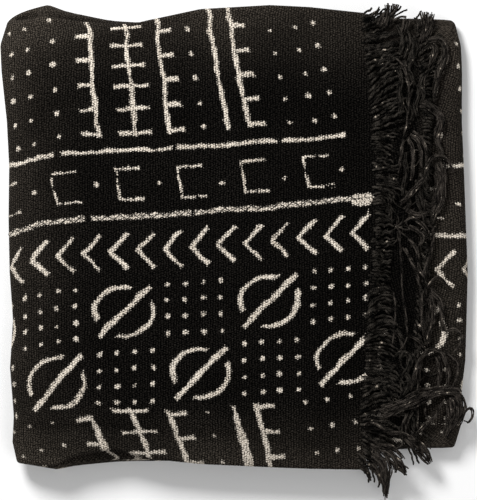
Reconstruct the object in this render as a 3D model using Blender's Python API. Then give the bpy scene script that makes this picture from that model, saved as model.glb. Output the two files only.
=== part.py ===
"""Black handwoven cotton throw with fringed ends, folded up.

The throw is four long strips sewn edge to edge. It is folded in thirds across its
width, with the middle third facing out, and then in half twice along its length.
Lengths are in metres. X runs along the strips, Y across them, and Z is up.
"""

import math

import bmesh
import bpy

# The cloth laid out flat
STRIP_WIDTH = 0.255
THICKNESS = 0.0020
SEAM_GAP = 0.0003

# The first fold, in thirds across the width
LAYER_PITCH = 0.0030
HALF_DEPTH = 0.190

# The second fold, in half twice along the length
BUNDLE_PITCH = 0.0092
OUTER_FOLD_X = -0.155
OUTER_FOLD_REACH = 0.034
INNER_FOLD_X = -0.158
RIGHT_FOLD_X = 0.1838
TOP_END_X = 0.1126
LOWER_END_X = 0.1537
GRID_STEP = 0.036

# How the edges blend into the middle of the stack
SIDE_EASE = (0.060, 0.165)
LEFT_EASE = (-0.150, -0.050)
RIGHT_EASE = (0.030, 0.165)
TOP_END_EASE = (0.010, 0.110)
EDGE_FALL = 0.08
EDGE_FALL_EASE = (0.140, 0.192)

# The fringe
BACKING_LENGTH = 0.0045
STRAND_WIDTH = 0.0030
STRAND_TIP_WIDTH = 0.0020
STRAND_THICKNESS = 0.0014
TIER_PITCH = 0.0019
TIER_CLEARANCE = 0.0012
DROP_LENGTH = 0.016
STEP_DOWN = (0.010, 0.036)
OVERHANG_SAG = 7.0
LENGTH_SPREAD = 0.16
LOCK_SPACING = 0.046
LOCK_TURN = math.radians(3.4)

# Colours, linear RGB, with roughness
CLOTH_FINISH = ((0.0065, 0.0060, 0.0056), 0.92)
FRINGE_FINISH = ((0.0200, 0.0180, 0.0165), 0.90)

# Folded edges seen from above: x, then the y of the top layer's two folded edges
# and of the two folded edges of the layers under it
SIDE_EDGES = (
    ("x", "top_back", "top_front", "under_back", "under_front"),
    (-0.192, 0.1775, -0.1900, 0.1925, -0.1935),
    (-0.160, 0.1865, -0.1925, 0.1985, -0.1984),
    (-0.144, 0.1835, -0.1850, 0.1925, -0.1950),
    (-0.108, 0.1800, -0.1785, 0.1850, -0.1918),
    (-0.088, 0.1800, -0.1830, 0.1835, -0.1912),
    (-0.072, 0.1835, -0.1870, 0.1840, -0.1912),
    (-0.031, 0.1923, -0.1913, 0.1900, -0.1905),
    (0.028, 0.1957, -0.1940, 0.1920, -0.1890),
    (0.064, 0.1940, -0.1953, 0.1900, -0.1865),
    (0.112, 0.1890, -0.1960, 0.1875, -0.1830),
    (0.165, 0.1880, -0.1960, 0.1865, -0.1801),
    (0.192, 0.1880, -0.1960, 0.1855, -0.1800),
)

# Folded and cut ends seen from above: y, then the x of the left fold, of the right
# fold, of the top layer's cut end and of the cut end under it
END_EDGES = (
    ("y", "left", "right", "top_end", "lower_end"),
    (-0.190, -0.1865, 0.1850, 0.1075, 0.1480),
    (-0.172, -0.1905, 0.1905, 0.1075, 0.1487),
    (-0.150, -0.1893, 0.1905, 0.1075, 0.1495),
    (-0.110, -0.1925, 0.1945, 0.1095, 0.1515),
    (-0.070, -0.1900, 0.1955, 0.1125, 0.1550),
    (-0.030, -0.1928, 0.1965, 0.1155, 0.1575),
    (0.015, -0.1937, 0.1948, 0.1190, 0.1590),
    (0.060, -0.1932, 0.1932, 0.1190, 0.1595),
    (0.100, -0.1952, 0.1915, 0.1170, 0.1600),
    (0.145, -0.1997, 0.1917, 0.1125, 0.1565),
    (0.168, -0.2008, 0.1908, 0.1103, 0.1543),
    (0.190, -0.1940, 0.1850, 0.1080, 0.1520),
)

# The sewn seam between the second and third strips, on the top layer
SEAM_LINE = (
    ("x", "y"),
    (-0.192, 0.0025),
    (-0.173, 0.0090),
    (-0.154, 0.0126),
    (-0.125, 0.0151),
    (-0.040, 0.0202),
    (0.031, 0.0260),
    (0.112, 0.0345),
)
UNDER_SEAM_Y = 0.0017

# Soft rises and hollows of the whole stack, as a share of its height
SWELLS = (
    ("x", "y", "reach", "rise"),
    (-0.060, 0.080, 0.075, 0.030),
    (0.070, -0.070, 0.080, 0.026),
    (-0.110, -0.120, 0.055, -0.040),
    (0.040, 0.150, 0.050, -0.030),
    (0.160, 0.020, 0.060, 0.030),
)

# The folded section of the cloth, stretch by stretch across the flat cloth: the fold or
# seam where it starts and ends, the y of its grid lines (or the number of steps round a
# fold), its layer in the folded bundle, and how far apart the strands of the two fringes
# stand along it (0 for none)
SECTION = (
    ("strip", "start", "end", "lines", "layer", "top_spacing", "lower_spacing"),
    ("strip_1", "first_edge", "seam_1", (-0.110, -0.070, -0.030, 0.015, 0.060), "inner", 0.020, 0.0105),
    ("strip_2", "seam_1", "back_fold_start", (0.145,), "inner", 0.020, 0.0105),
    ("strip_2", "back_fold_start", "back_fold_end", 4, "fold", 0.0, 0.0),
    ("strip_2", "back_fold_end", "seam_2", (0.145, 0.100, 0.060), "outer", 0.0058, 0.036),
    ("strip_3", "seam_2", "front_fold_start", (-0.030, -0.070, -0.110, -0.150), "outer", 0.0058, 0.036),
    ("strip_3", "front_fold_start", "front_fold_end", 3, "fold", 0.0, 0.0),
    ("strip_3", "front_fold_end", "seam_3", (), "middle", 0.020, 0.036),
    ("strip_4", "seam_3", "last_edge", (-0.110, -0.070, -0.030, 0.015, 0.060), "middle", 0.020, 0.036),
)

# How far the strands reach and which way they turn, by the y of their roots
TOP_FRINGE_LIE = (
    ("y", "length", "turn_degrees"),
    (-0.196, 0.034, -62.0),
    (-0.170, 0.060, -40.0),
    (-0.152, 0.078, -6.0),
    (-0.120, 0.074, 2.0),
    (-0.050, 0.066, -2.0),
    (0.030, 0.070, 3.0),
    (0.110, 0.066, 6.0),
    (0.160, 0.056, 14.0),
    (0.190, 0.042, 30.0),
)
LOWER_FRINGE_LIE = (
    ("y", "length", "turn_degrees"),
    (-0.175, 0.026, -24.0),
    (-0.120, 0.032, -2.0),
    (0.000, 0.030, 0.0),
    (0.120, 0.026, 2.0),
    (0.178, 0.024, 20.0),
)

BUNDLE_HALF = LAYER_PITCH + THICKNESS / 2
LEVEL_HEIGHTS = [BUNDLE_HALF + BUNDLE_PITCH * level for level in range(4)]
CLOTH_WIDTH = 4 * STRIP_WIDTH
GRID_LINES = [GRID_STEP * line for line in range(-5, 6)]
BACK_FOLD_Y = HALF_DEPTH - LAYER_PITCH - THICKNESS / 2
FRONT_FOLD_Y = -HALF_DEPTH + LAYER_PITCH / 2 + THICKNESS / 2
LEFT_EDGE_X = OUTER_FOLD_X - OUTER_FOLD_REACH - BUNDLE_HALF
RIGHT_EDGE_X = RIGHT_FOLD_X + BUNDLE_PITCH / 2 + BUNDLE_HALF


def clear_scene():
    """Remove whatever objects the file holds."""
    for thing in list(bpy.data.objects):
        bpy.data.objects.remove(thing, do_unlink=True)


def mix(a, b, share):
    """Blend from a to b."""
    return a + (b - a) * share


def ease(value, limits):
    """Rise smoothly from 0 to 1 between two limits."""
    share = min(max((value - limits[0]) / (limits[1] - limits[0]), 0.0), 1.0)
    return share * share * (3.0 - 2.0 * share)


def read(table, column, value):
    """Read a column of a table, straight between its rows, at a value of its first column."""
    index = table[0].index(column)
    rows = table[1:]
    if value <= rows[0][0]:
        return rows[0][index]
    for low, high in zip(rows, rows[1:]):
        if value <= high[0]:
            share = (value - low[0]) / (high[0] - low[0])
            return mix(low[index], high[index], share)
    return rows[-1][index]


class Station:
    """One place along the cloth's length, on the middle line of its folded bundle."""

    def __init__(self, x, z, out, place, top_share=0.0, inset=0.0):
        self.x = x
        self.z = z
        self.out = out
        self.place = place
        self.top_share = top_share
        self.inset = inset

    def seam_y(self):
        """Where the middle seam crosses this station."""
        return mix(UNDER_SEAM_Y, read(SEAM_LINE, "y", self.x), self.top_share)


def flat_run(level, start, end, place, top_share, inset):
    """Stations of one flat level of the stack, from one x to another."""
    low = min(start, end) + GRID_STEP / 3
    high = max(start, end) - GRID_STEP / 3
    inside = [x for x in GRID_LINES if low < x < high]
    if end < start:
        inside.reverse()
    facing = 1.0 if end < start else -1.0
    return [
        Station(x, LEVEL_HEIGHTS[level], (0.0, facing), place, top_share, inset)
        for x in [start] + inside + [end]
    ]


def turn(centre, reach, rise, angles, side, steps, place, shares, insets):
    """Stations round one fold, without its two ends. Side is 1 where the face is outside."""
    stations = []
    for step in range(1, steps):
        share = step / steps
        angle = math.radians(mix(angles[0], angles[1], share))
        across, up = math.cos(angle), math.sin(angle)
        length = math.hypot(across / reach, up / rise)
        out = (side * across / reach / length, side * up / rise / length)
        stations.append(Station(
            centre[0] + reach * across, centre[1] + rise * up, out, place,
            mix(shares[0], shares[1], ease(share, (0.0, 1.0))), mix(insets[0], insets[1], share),
        ))
    return stations


def cloth_path():
    """The whole path of the folded bundle, from the top cut end to the one under it."""
    middle_low = (LEVEL_HEIGHTS[0] + LEVEL_HEIGHTS[1]) / 2
    middle_inner = (LEVEL_HEIGHTS[1] + LEVEL_HEIGHTS[2]) / 2
    middle_outer = (LEVEL_HEIGHTS[0] + LEVEL_HEIGHTS[3]) / 2
    small = BUNDLE_PITCH / 2
    path = flat_run(3, TOP_END_X, OUTER_FOLD_X, "top", 1.0, 0.0)
    path += turn((OUTER_FOLD_X, middle_outer), OUTER_FOLD_REACH, 3 * small,
                 (90, 270), 1, 9, "outer_fold", (1.0, 0.0), (0.0, 0.0))
    path += flat_run(0, OUTER_FOLD_X, RIGHT_FOLD_X, "bottom", 0.0, 0.0)
    path += turn((RIGHT_FOLD_X, middle_low), small, small,
                 (-90, 90), 1, 6, "right_fold", (0.0, 0.0), (0.0, 0.0015))
    path += flat_run(1, RIGHT_FOLD_X, INNER_FOLD_X, "second", 0.0, 0.0015)
    path += turn((INNER_FOLD_X, middle_inner), small, small,
                 (270, 90), -1, 6, "inner_fold", (0.0, 0.0), (0.0015, 0.0030))
    path += flat_run(2, INNER_FOLD_X, LOWER_END_X, "third", 0.0, 0.0030)
    return path


def lift(x, y):
    """How much the stack swells at a place, as a share of its height."""
    total = -EDGE_FALL * ease(abs(y), EDGE_FALL_EASE)
    for row in SWELLS[1:]:
        away = math.hypot(x - row[0], y - row[1]) / row[2]
        total += row[3] * math.exp(-away * away)
    return total


def settle(x, y, z, station):
    """Move a point of the even stack to where the uneven one has it."""
    share = station.top_share
    back = mix(read(SIDE_EDGES, "under_back", x), read(SIDE_EDGES, "top_back", x), share)
    front = mix(read(SIDE_EDGES, "under_front", x), read(SIDE_EDGES, "top_front", x), share)
    back_move = (back - station.inset - HALF_DEPTH) * ease(y, SIDE_EASE)
    front_move = (front + station.inset + HALF_DEPTH) * ease(-y, SIDE_EASE)
    left_move = (read(END_EDGES, "left", y) - LEFT_EDGE_X) * (1.0 - ease(x, LEFT_EASE))
    if station.place == "top":
        right_move = (read(END_EDGES, "top_end", y) - TOP_END_X) * ease(x, TOP_END_EASE)
    elif station.place == "third":
        right_move = (read(END_EDGES, "lower_end", y) - LOWER_END_X) * ease(x, RIGHT_EASE)
    else:
        right_move = (read(END_EDGES, "right", y) - RIGHT_EDGE_X) * ease(x, RIGHT_EASE)
    new_x = x + left_move + right_move
    new_y = y + back_move + front_move
    return (new_x, new_y, z * (1.0 + lift(new_x, new_y)))


def fold_places(seam_y):
    """Distances across the flat cloth of its edges, seams and folds at one station."""
    back_fold_end = 2 * STRIP_WIDTH - (BACK_FOLD_Y - seam_y)
    front_fold_start = 2 * STRIP_WIDTH + (seam_y - FRONT_FOLD_Y)
    return {
        "first_edge": 0.0,
        "seam_1": STRIP_WIDTH,
        "back_fold_start": back_fold_end - math.pi * LAYER_PITCH,
        "back_fold_end": back_fold_end,
        "seam_2": 2 * STRIP_WIDTH,
        "front_fold_start": front_fold_start,
        "front_fold_end": front_fold_start + math.pi * LAYER_PITCH / 2,
        "seam_3": 3 * STRIP_WIDTH,
        "last_edge": CLOTH_WIDTH,
    }


def fold_across(v, places):
    """Fold the distance v across the flat cloth into thirds.

    Returns y, the offset from the bundle's middle towards its face, and the cloth's own
    normal in that plane.
    """
    if v <= places["back_fold_start"]:
        return BACK_FOLD_Y - (places["back_fold_start"] - v), -LAYER_PITCH, 0.0, -1.0
    if v < places["back_fold_end"]:
        angle = -math.pi / 2 + (v - places["back_fold_start"]) / LAYER_PITCH
        along, up = math.cos(angle), math.sin(angle)
        return BACK_FOLD_Y + LAYER_PITCH * along, LAYER_PITCH * up, along, up
    if v <= places["front_fold_start"]:
        return BACK_FOLD_Y - (v - places["back_fold_end"]), LAYER_PITCH, 0.0, 1.0
    if v < places["front_fold_end"]:
        radius = LAYER_PITCH / 2
        angle = math.pi / 2 + (v - places["front_fold_start"]) / radius
        along, up = math.cos(angle), math.sin(angle)
        return FRONT_FOLD_Y + radius * along, radius + radius * up, along, up
    return FRONT_FOLD_Y + (v - places["front_fold_end"]), 0.0, 0.0, -1.0


def cloth_point(station, v, side):
    """A point on one face of the cloth. Side is 1 for the painted face and -1 for its back."""
    y, offset, normal_y, normal_out = fold_across(v, fold_places(station.seam_y()))
    y += side * THICKNESS / 2 * normal_y
    offset += side * THICKNESS / 2 * normal_out
    x = station.x + offset * station.out[0]
    z = station.z + offset * station.out[1]
    return settle(x, y, z, station)


def stretch_lines(row, places):
    """Distances across the flat cloth of one stretch's grid lines, with its two ends."""
    _, start, end, lines, layer = row[:5]
    if layer == "fold":
        return [mix(places[start], places[end], step / lines) for step in range(lines + 1)]
    inside = {
        "inner": [places["back_fold_start"] - (BACK_FOLD_Y - y) for y in lines],
        "outer": [places["back_fold_end"] + (BACK_FOLD_Y - y) for y in lines],
        "middle": [places["front_fold_end"] + (y - FRONT_FOLD_Y) for y in lines],
    }[layer]
    return [places[start]] + inside + [places[end]]


def strip_columns(strip, places):
    """Distances across the flat cloth of one strip's grid lines at a station."""
    columns = []
    for row in SECTION[1:]:
        if row[0] == strip:
            stretch = stretch_lines(row, places)
            columns += stretch[1:] if columns else stretch
    if strip != "strip_1":
        columns[0] += SEAM_GAP / 2
    if strip != "strip_4":
        columns[-1] -= SEAM_GAP / 2
    return columns


def finish_material(name, finish):
    """A plain matt cloth material."""
    colour, roughness = finish
    material = bpy.data.materials.new(name)
    material.use_nodes = True
    shader = material.node_tree.nodes["Principled BSDF"]
    shader.inputs["Base Color"].default_value = (*colour, 1.0)
    shader.inputs["Roughness"].default_value = roughness
    shader.inputs["Metallic"].default_value = 0.0
    return material


def add_object(name, mesh_data, material):
    """Turn a bmesh into a named object with its normals outward."""
    bmesh.ops.recalc_face_normals(mesh_data, faces=mesh_data.faces)
    mesh = bpy.data.meshes.new(name)
    mesh_data.to_mesh(mesh)
    mesh_data.free()
    mesh.materials.append(material)
    thing = bpy.data.objects.new(name, mesh)
    bpy.context.scene.collection.objects.link(thing)
    return thing


def make_strip(name, path, material):
    """One long strip of cloth on all the folds of the throw."""
    shape = bmesh.new()
    faces = {}
    for side in (1, -1):
        faces[side] = [
            [shape.verts.new(cloth_point(station, v, side))
             for v in strip_columns(name, fold_places(station.seam_y()))]
            for station in path
        ]
    rows = len(path)
    columns = len(faces[1][0])
    for row in range(rows - 1):
        for column in range(columns - 1):
            for side in (1, -1):
                grid = faces[side]
                shape.faces.new((grid[row][column], grid[row][column + 1],
                                 grid[row + 1][column + 1], grid[row + 1][column]))
    for row in range(rows - 1):
        for column in (0, columns - 1):
            shape.faces.new((faces[1][row][column], faces[1][row + 1][column],
                             faces[-1][row + 1][column], faces[-1][row][column]))
    for row in (0, rows - 1):
        for column in range(columns - 1):
            shape.faces.new((faces[1][row][column], faces[1][row][column + 1],
                             faces[-1][row][column + 1], faces[-1][row][column]))
    return add_object(name, shape, material)


def tier_height(x, y, root, tier, under_tiers):
    """The height at which a strand lies, before the stack's swelling.

    Strands of the top end first lie on the layer under it, then step down with that
    layer's own fringe. Each tier keeps its own height, so no strand meets another tier.
    """
    away = x - root[0]
    on_second = LEVEL_HEIGHTS[1] + BUNDLE_HALF + TIER_CLEARANCE + tier * TIER_PITCH
    if under_tiers:
        on_third = LEVEL_HEIGHTS[2] + BUNDLE_HALF + TIER_CLEARANCE + (tier - under_tiers) * TIER_PITCH
        past_end = x - read(END_EDGES, "lower_end", y)
        lying = mix(on_third, on_second, ease(past_end, STEP_DOWN))
    else:
        lying = on_second
    return mix(root[2], lying, ease(away, (0.0, DROP_LENGTH)))


def overhang(x, y):
    """How far a place lies outside the stack, seen from above."""
    back = y - read(SIDE_EDGES, "under_back", x)
    front = read(SIDE_EDGES, "under_front", x) - y
    right = x - read(END_EDGES, "right", y)
    return max(back, front, right, 0.0)


def strand_rings(root, lie, index, tier, under_tiers, segments):
    """Centres and sideways directions of the rings along one strand."""
    x, y, _ = root
    length = read(lie, "length", y) * (1.0 + LENGTH_SPREAD * math.sin(2.4 * index + tier))
    turn_angle = math.radians(read(lie, "turn_degrees", y))
    turn_angle += LOCK_TURN * math.sin(2.0 * math.pi * y / LOCK_SPACING + tier)
    root_height = root[2] / (1.0 + lift(x, y))
    rings = []
    small_steps = 4
    for segment in range(1, segments + 1):
        for small in range(small_steps):
            share = (segment - 1 + (small + 0.5) / small_steps) / segments
            heading = turn_angle * ease(share, (-0.15, 0.55))
            step = length / segments / small_steps
            x += step * math.cos(heading)
            y += step * math.sin(heading)
        height = tier_height(x, y, (root[0], root[1], root_height), tier, under_tiers)
        z = height * (1.0 + lift(x, y)) - OVERHANG_SAG * overhang(x, y) ** 2
        heading = turn_angle * ease(segment / segments, (-0.15, 0.55))
        rings.append(((x, y, z), (-math.sin(heading), math.cos(heading))))
    return rings


def add_strand(shape, cell, rings):
    """Draw one strand out of a cell of the backing's front face."""
    last = cell
    for number, (centre, sideways) in enumerate(rings, start=1):
        share = number / len(rings)
        half_width = mix(STRAND_WIDTH, STRAND_TIP_WIDTH, share) / 2
        half_height = mix(THICKNESS, STRAND_THICKNESS, min(2 * share, 1.0)) / 2
        ring = []
        for across, up in ((1, 1), (-1, 1), (-1, -1), (1, -1)):
            ring.append(shape.verts.new((
                centre[0] + across * half_width * sideways[0],
                centre[1] + across * half_width * sideways[1],
                centre[2] + up * half_height,
            )))
        for corner in range(4):
            after = (corner + 1) % 4
            shape.faces.new((last[corner], last[after], ring[after], ring[corner]))
        last = ring
    shape.faces.new(last)


def cell_cuts(low, high, strands):
    """Split a cell into strand cells with even gaps: pairs of distance and is-a-strand."""
    if not strands:
        return [(low, False)]
    pitch = (high - low) / strands
    cuts = [(low, False)]
    for strand in range(strands):
        start = low + pitch * strand + (pitch - STRAND_WIDTH) / 2
        cuts.append((start, True))
        cuts.append((start + STRAND_WIDTH, False))
    return cuts


def make_fringe(name, end, lie, tiers, under_tiers, spacing_column, material):
    """A narrow backing along one cut end, with its strands drawn out of it."""
    near, far = [
        Station(end.x + away, end.z, end.out, end.place, end.top_share, end.inset)
        for away in (SEAM_GAP, SEAM_GAP + BACKING_LENGTH)
    ]
    places = fold_places(end.seam_y())
    shape = bmesh.new()
    index = 0

    def pair(station, v):
        return [shape.verts.new(cloth_point(station, v, side)) for side in (1, -1)]

    first_near = last_near = pair(near, 0.0)
    first_far = last_far = pair(far, 0.0)
    for row in SECTION[1:]:
        spacing = row[SECTION[0].index(spacing_column)]
        tier = tiers.get(row[4], 0)
        edges = stretch_lines(row, places)
        for low, high in zip(edges, edges[1:]):
            strands = round((high - low) / spacing) if spacing else 0
            next_near = pair(near, high)
            cuts = cell_cuts(low, high, strands)
            front = [last_far] + [pair(far, v) for v, _ in cuts[1:]] + [pair(far, high)]
            for side in (0, 1):
                shape.faces.new([last_near[side]] + [point[side] for point in front] + [next_near[side]])
            shape.faces.new((last_near[0], next_near[0], next_near[1], last_near[1]))
            for number, (_, is_strand) in enumerate(cuts):
                left, right = front[number], front[number + 1]
                if is_strand:
                    index += 1
                    cell = order_cell((left[0], right[0], right[1], left[1]))
                    root = [sum(vert.co[axis] for vert in cell) / 4 for axis in range(3)]
                    segments = 4 if tier == max(tiers.values()) else 3
                    rings = strand_rings(root, lie, index, tier, under_tiers, segments)
                    add_strand(shape, cell, rings)
                else:
                    shape.faces.new((left[0], right[0], right[1], left[1]))
            last_near, last_far = next_near, front[-1]
    shape.faces.new((first_near[0], first_far[0], first_far[1], first_near[1]))
    shape.faces.new((last_near[0], last_far[0], last_far[1], last_near[1]))
    return add_object(name, shape, material)


def order_cell(cell):
    """Sort a cell's four corners: back top, front top, front bottom, back bottom."""
    by_height = sorted(cell, key=lambda vert: -vert.co.z)
    top = sorted(by_height[:2], key=lambda vert: -vert.co.y)
    bottom = sorted(by_height[2:], key=lambda vert: vert.co.y)
    return top + bottom


def centre_on_floor(things):
    """Move every point so that the throw stands centred on the origin."""
    points = [vert.co for thing in things for vert in thing.data.vertices]
    middle_x = (min(point.x for point in points) + max(point.x for point in points)) / 2
    middle_y = (min(point.y for point in points) + max(point.y for point in points)) / 2
    for point in points:
        point.x -= middle_x
        point.y -= middle_y


def build():
    """Make the folded throw."""
    clear_scene()
    cloth = finish_material("black_cotton", CLOTH_FINISH)
    yarn = finish_material("fringe_yarn", FRINGE_FINISH)
    path = cloth_path()
    things = [make_strip(f"strip_{number}", path, cloth) for number in range(1, 5)]
    things.append(make_fringe("fringe_top_end", path[0], TOP_FRINGE_LIE,
                              {"inner": 3, "middle": 4, "outer": 5}, 3, "top_spacing", yarn))
    things.append(make_fringe("fringe_lower_end", path[-1], LOWER_FRINGE_LIE,
                              {"outer": 0, "middle": 1, "inner": 2}, 0, "lower_spacing", yarn))
    centre_on_floor(things)


build()
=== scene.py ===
# %% [markdown]
# # A folded mud cloth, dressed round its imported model
#
# The object is a black handwoven cotton throw with cream painted signs and fringed ends,
# folded in thirds and then twice in half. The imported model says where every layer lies.
# This script lays a fine sheet on each of those folds, paints it with shader nodes, and
# ties the fringe. Everything is in metres, X to the right of the photograph, Y up it.

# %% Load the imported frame
import math

import bpy
import numpy as np
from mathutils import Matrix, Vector


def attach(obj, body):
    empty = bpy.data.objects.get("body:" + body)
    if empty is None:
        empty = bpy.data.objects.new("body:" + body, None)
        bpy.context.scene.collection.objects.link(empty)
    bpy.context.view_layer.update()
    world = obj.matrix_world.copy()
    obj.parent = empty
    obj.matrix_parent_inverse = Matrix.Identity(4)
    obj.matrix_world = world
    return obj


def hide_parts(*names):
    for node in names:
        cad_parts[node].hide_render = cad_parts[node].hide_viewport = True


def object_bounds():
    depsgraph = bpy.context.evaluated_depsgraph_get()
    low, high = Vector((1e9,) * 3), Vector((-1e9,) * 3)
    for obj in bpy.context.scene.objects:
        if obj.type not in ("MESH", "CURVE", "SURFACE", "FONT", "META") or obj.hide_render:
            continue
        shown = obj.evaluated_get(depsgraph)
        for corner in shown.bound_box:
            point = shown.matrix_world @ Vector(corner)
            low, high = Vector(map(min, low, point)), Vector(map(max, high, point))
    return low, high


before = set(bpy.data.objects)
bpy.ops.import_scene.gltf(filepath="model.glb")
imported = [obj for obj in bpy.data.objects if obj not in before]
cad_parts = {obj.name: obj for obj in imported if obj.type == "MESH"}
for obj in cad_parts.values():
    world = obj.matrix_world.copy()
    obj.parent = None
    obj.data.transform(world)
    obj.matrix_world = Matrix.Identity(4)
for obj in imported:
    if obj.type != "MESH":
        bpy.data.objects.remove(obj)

cad_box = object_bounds()
print("CAD box in mm:", [[round(c * 1000, 1) for c in corner] for corner in cad_box])

# %% [markdown]
# ## How the throw is folded
#
# Four strips, each 255 mm wide, are sewn edge to edge. The width is folded in thirds, then
# the length twice in half. The whole thing could be draped by cloth simulation, but a stack
# of twelve layers takes long to settle and never ends where the real one lies. So the fold
# is written down: a path along the length, a section across the width, and tables that
# move the folded edges to where they are seen.

# %% Sizes of the throw and of its folds, in metres
STRIP_WIDTH = 0.255
THICKNESS = 0.0020
SEAM_GAP = 0.0003
LAYER_PITCH = 0.0030
HALF_DEPTH = 0.190
BUNDLE_PITCH = 0.0092
OUTER_FOLD_X, OUTER_FOLD_REACH = -0.155, 0.034
INNER_FOLD_X, RIGHT_FOLD_X = -0.158, 0.1838
TOP_END_X, LOWER_END_X = 0.1126, 0.1537

BUNDLE_HALF = LAYER_PITCH + THICKNESS / 2
LEVELS = [BUNDLE_HALF + BUNDLE_PITCH * level for level in range(4)]
BACK_FOLD_Y = HALF_DEPTH - LAYER_PITCH - THICKNESS / 2
FRONT_FOLD_Y = -HALF_DEPTH + LAYER_PITCH / 2 + THICKNESS / 2
LEFT_EDGE_X = OUTER_FOLD_X - OUTER_FOLD_REACH - BUNDLE_HALF
RIGHT_EDGE_X = RIGHT_FOLD_X + BUNDLE_PITCH / 2 + BUNDLE_HALF
print("height of the stack in mm:", round((LEVELS[3] + BUNDLE_HALF) * 1000, 1))

# %% [markdown]
# ## Where the edges lie
#
# A folded throw is never square. These tables hold its edges seen from above, in the same
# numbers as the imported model: the folded sides along X, and the folded and cut ends along
# Y. A smooth ease carries each edge's shift into the middle of the stack.

# %% Tables of the edges
SIDE_EDGES = {
    "x": (-.192, -.160, -.144, -.108, -.088, -.072, -.031, .028, .064, .112, .165, .192),
    "top_back": (.1775, .1865, .1835, .180, .180, .1835, .1923, .1957, .194, .189, .188, .188),
    "top_front": (-.190, -.1925, -.185, -.1785, -.183, -.187, -.1913, -.194, -.1953, -.196,
                  -.196, -.196),
    "under_back": (.1925, .1985, .1925, .185, .1835, .184, .190, .192, .190, .1875, .1865, .1855),
    "under_front": (-.1935, -.1984, -.195, -.1918, -.1912, -.1912, -.1905, -.189, -.1865, -.183,
                    -.1801, -.180),
}
END_EDGES = {
    "y": (-.190, -.172, -.150, -.110, -.070, -.030, .015, .060, .100, .145, .168, .190),
    "left": (-.1865, -.1905, -.1893, -.1925, -.190, -.1928, -.1937, -.1932, -.1952, -.1997,
             -.2008, -.194),
    "right": (.185, .1905, .1905, .1945, .1955, .1965, .1948, .1932, .1915, .1917, .1908, .185),
    "top_end": (.1075, .1075, .1075, .1095, .1125, .1155, .119, .119, .117, .1125, .1103, .108),
    "lower_end": (.148, .1487, .1495, .1515, .155, .1575, .159, .1595, .160, .1565, .1543, .152),
}
SEAM_X = (-.192, -.173, -.154, -.125, -.040, .031, .112)
SEAM_Y = (.0025, .0090, .0126, .0151, .0202, .0260, .0345)
UNDER_SEAM_Y = 0.0017
SIDE_EASE, LEFT_EASE = (.060, .165), (-.150, -.050)
RIGHT_EASE, TOP_END_EASE = (.030, .165), (.010, .110)


def ease(value, limits):
    """Rise smoothly from 0 to 1 between two limits."""
    share = np.clip((value - limits[0]) / (limits[1] - limits[0]), 0.0, 1.0)
    return share * share * (3.0 - 2.0 * share)


def side(column, x):
    """The y of a folded side at x."""
    return np.interp(x, SIDE_EDGES["x"], SIDE_EDGES[column])


def end(column, y):
    """The x of a folded or cut end at y."""
    return np.interp(y, END_EDGES["y"], END_EDGES[column])


print("edge rows:", len(SIDE_EDGES["x"]), "along X and", len(END_EDGES["y"]), "along Y")

# %% [markdown]
# ## Swells and creases
#
# The stack's surface rises where layers trap air and sinks along old fold lines. Each soft
# rise or trough is placed from the photograph, and moves all twelve layers in step, as a
# share of their height, so no layer is pushed through the next.

# %% Swells, creases and the settle of the stack
# Swells: the middle, the reach, and the rise as a share of the height
SWELLS = ((-.060, .080, .075, .030), (.070, -.070, .080, .026), (-.110, -.120, .055, -.040),
          (.040, .150, .050, -.030), (.160, .020, .060, .030))
EDGE_FALL, EDGE_FALL_EASE = 0.08, (.140, .192)
# Creases: the two ends, half the width across, and the rise as a share of the height
CREASES = (
    (-.185, -.159, -.060, -.168, .0065, -.075),
    (-.060, -.168, .080, -.176, .0060, -.045),
    (-.190, -.150, -.110, -.156, .0090, .045),
    (-.150, .180, -.075, .1795, .0050, -.070),
    (-.075, .1795, .020, .186, .0045, -.040),
    (-.160, .168, -.060, .168, .0080, .035),
    (.085, .075, .060, .120, .0080, -.035),
    (.050, .040, .075, -.035, .0100, .025),
    (-.170, .060, -.155, -.090, .0090, .035),
    (-.150, .120, -.168, .030, .0080, -.030),
    (.060, -.110, .095, -.165, .0090, -.030),
    (.095, .060, .100, -.060, .0080, .030),
    (.155, .110, .175, .060, .0070, -.035),
    (.165, -.050, .158, -.120, .0080, .035),
)


def crease(x, y, row):
    """How far a place is lifted by one crease, which fades out at both ends."""
    x0, y0, x1, y1, half, rise = row
    length = math.hypot(x1 - x0, y1 - y0)
    along = ((x - x0) * (x1 - x0) + (y - y0) * (y1 - y0)) / length
    across = ((x - x0) * (y1 - y0) - (y - y0) * (x1 - x0)) / length
    fade = ease(along, (-.5 * half, 1.8 * half)) * ease(length - along, (-.5 * half, 1.8 * half))
    wander = 0.35 * half * np.sin(along / (4.0 * half) + 9.0 * x0)
    return rise * fade * np.exp(-((across + wander) / half) ** 2)


def lift(x, y):
    """How much the stack swells at a place, as a share of its height."""
    total = -EDGE_FALL * ease(np.abs(y), EDGE_FALL_EASE)
    for cx, cy, reach, rise in SWELLS:
        total = total + rise * np.exp(-((x - cx) ** 2 + (y - cy) ** 2) / reach ** 2)
    for row in CREASES:
        total = total + crease(x, y, row)
    return total


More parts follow.
